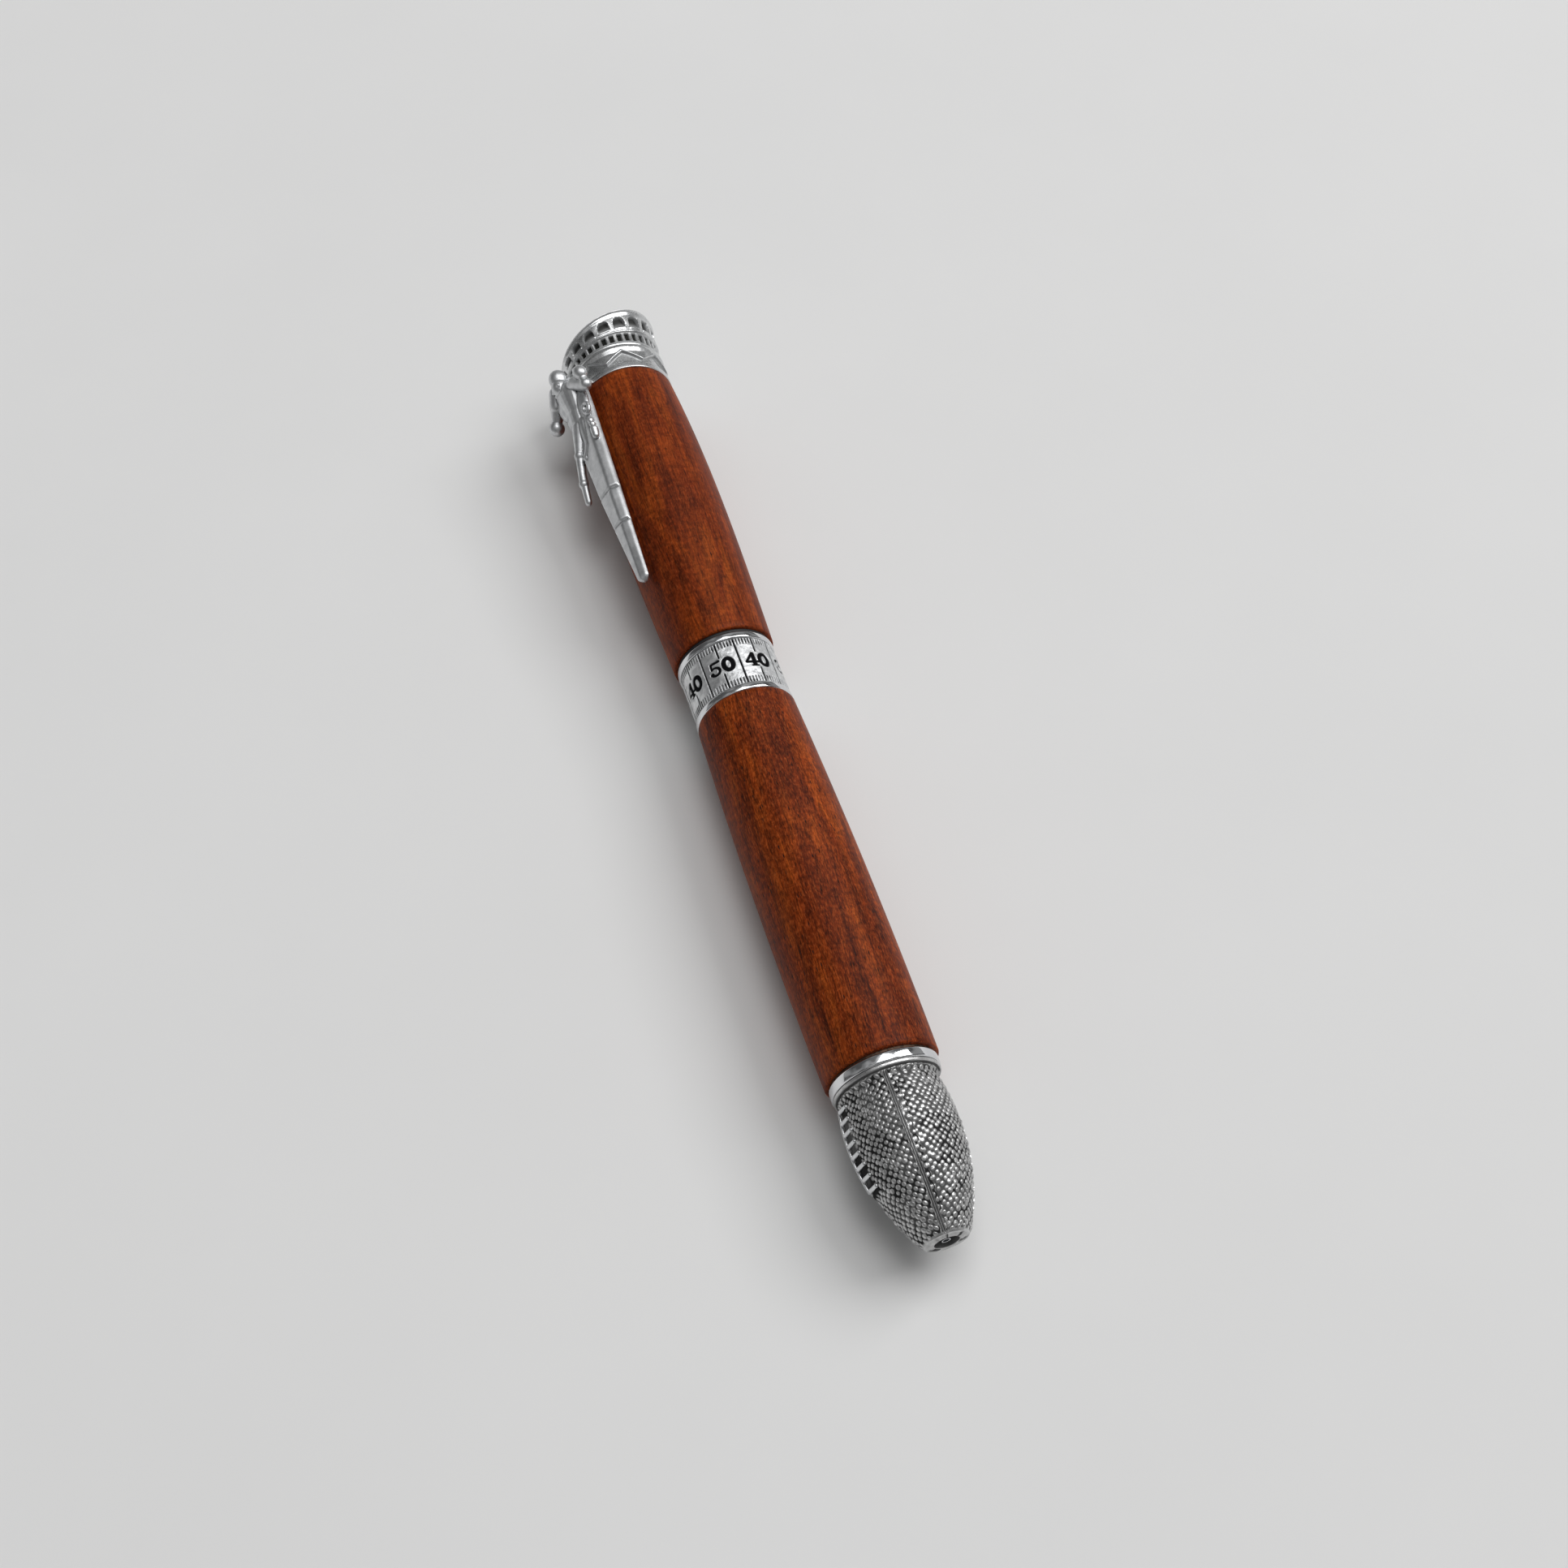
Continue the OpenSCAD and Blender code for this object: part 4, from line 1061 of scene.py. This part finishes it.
def make_spring(cad, name, mean_r, wire, turns):
    """A coil with one closed turn at each end."""
    x0, x1 = span(cad)[:2]
    length = x1 - x0
    per_turn, sides, closed = 36, 10, 1.0
    rings = turns * per_turn + 1
    pitch = 2 * wire + 0.03
    lift = wire + 0.02
    inner = (length - 2 * lift - 2 * closed * pitch) / (turns - 2 * closed)
    verts = []
    for i in range(rings):
        t = i / per_turn
        if t < closed:
            x = x0 + lift + pitch * t
        elif t < turns - closed:
            x = x0 + lift + pitch * closed + inner * (t - closed)
        else:
            x = x1 - lift - pitch * (turns - t)
        a = TAU * t
        for k in range(sides):
            s = TAU * k / sides
            r = mean_r + wire * math.cos(s)
            verts.append(((x + wire * math.sin(s)) * MM, -r * math.sin(a) * MM, r * math.cos(a) * MM))
    mesh = mesh_from(name, verts, tube_faces(rings, sides), 0)
    obj = add_object(name, mesh, SPRING, BODY_OF[cad], [cad])
    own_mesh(obj)


# ---------------------------------------------------------------- stage

def make_light(name, location, target, size, power):
    """A rectangular lamp at location that faces target."""
    data = bpy.data.lights.new(name, "AREA")
    data.shape = "RECTANGLE"
    data.size, data.size_y = size
    data.energy = power
    lamp = bpy.data.objects.new(name, data)
    lamp.location = location
    lamp.rotation_mode = "QUATERNION"
    lamp.rotation_quaternion = (Vector(target) - Vector(location)).to_track_quat("-Z", "Y")
    bpy.context.scene.collection.objects.link(lamp)


def make_stage():
    """White floor under the fattest wood, a dim room with brighter patches, a window and a ceiling."""
    centre = (0.066, 0, 0)
    floor_size = 6
    floor_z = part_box("upper_wood")[0].z
    bpy.ops.mesh.primitive_plane_add(size=floor_size, location=(0.06, 0, floor_z))
    floor = bpy.context.active_object
    floor.name = "floor"
    floor.data.materials.append(floor_material())

    world = bpy.data.worlds.new("studio")
    bpy.context.scene.world = world
    world.use_nodes = True
    tree = world.node_tree
    background = tree.nodes["Background"]
    coord = tree.nodes.new("ShaderNodeTexCoord")
    split = tree.nodes.new("ShaderNodeSeparateXYZ")
    tree.links.new(coord.outputs["Generated"], split.inputs[0])
    room = [(0.05, grey(0.18)), (0.35, grey(0.15)), (0.70, grey(0.21)), (0.95, grey(0.40))]
    height = ramp(tree, split.outputs["Z"], room)
    patches = ramp(tree, noise(tree, coord.outputs["Generated"], 2.6, 1.0),
                   [(0.42, grey(0.45)), (0.58, grey(1.5))])
    tree.links.new(mix(tree, 1.0, height, patches, "MULTIPLY"), background.inputs["Color"])
    background.inputs["Strength"].default_value = 1.0

    make_light("window", (0.35, -1.45, 1.55), centre, (1.3, 1.1), 20.5)
    make_light("ceiling", (0.45, -0.30, 2.2), centre, (1.3, 1.3), 14.5)
    bpy.context.scene.view_settings.view_transform = "Standard"


def make_camera():
    """The camera stands above and before the nose and looks along the pencil."""
    location = Vector((-68.5, 40.3, 214.0)) * MM
    right = Vector((-0.3105, -0.9503, 0)).normalized()
    forward = Vector((0.5048, -0.1649, -0.847)).normalized()
    up = right.cross(forward).normalized()
    right = forward.cross(up)
    data = bpy.data.cameras.new("camera")
    data.sensor_width = 36
    data.lens = 48.91304
    data.clip_start, data.clip_end = 0.01, 20
    cam = bpy.data.objects.new("camera", data)
    turn = Matrix((right, up, -forward)).transposed()
    cam.matrix_world = Matrix.Translation(location) @ turn.to_4x4()
    bpy.context.scene.collection.objects.link(cam)
    bpy.context.scene.camera = cam


make_camera()
make_stage()
dress_cad_nodes()
make_nose()
make_laces()
make_rings()
make_wood("lower_wood", "lower_turned_wood", (6.65, 6.96, 6.8, 6.16), LOWER_WOOD)
make_wood("upper_wood", "upper_turned_wood", (6.38, 6.95, 7.55, 6.44), UPPER_WOOD)
make_band_field()
make_finial()
make_clip()
make_spring("return_spring", "nose_return_spring", 2.1, 0.18, 7)
make_spring("feed_spring", "chuck_feed_spring", 2.0, 0.15, 9)
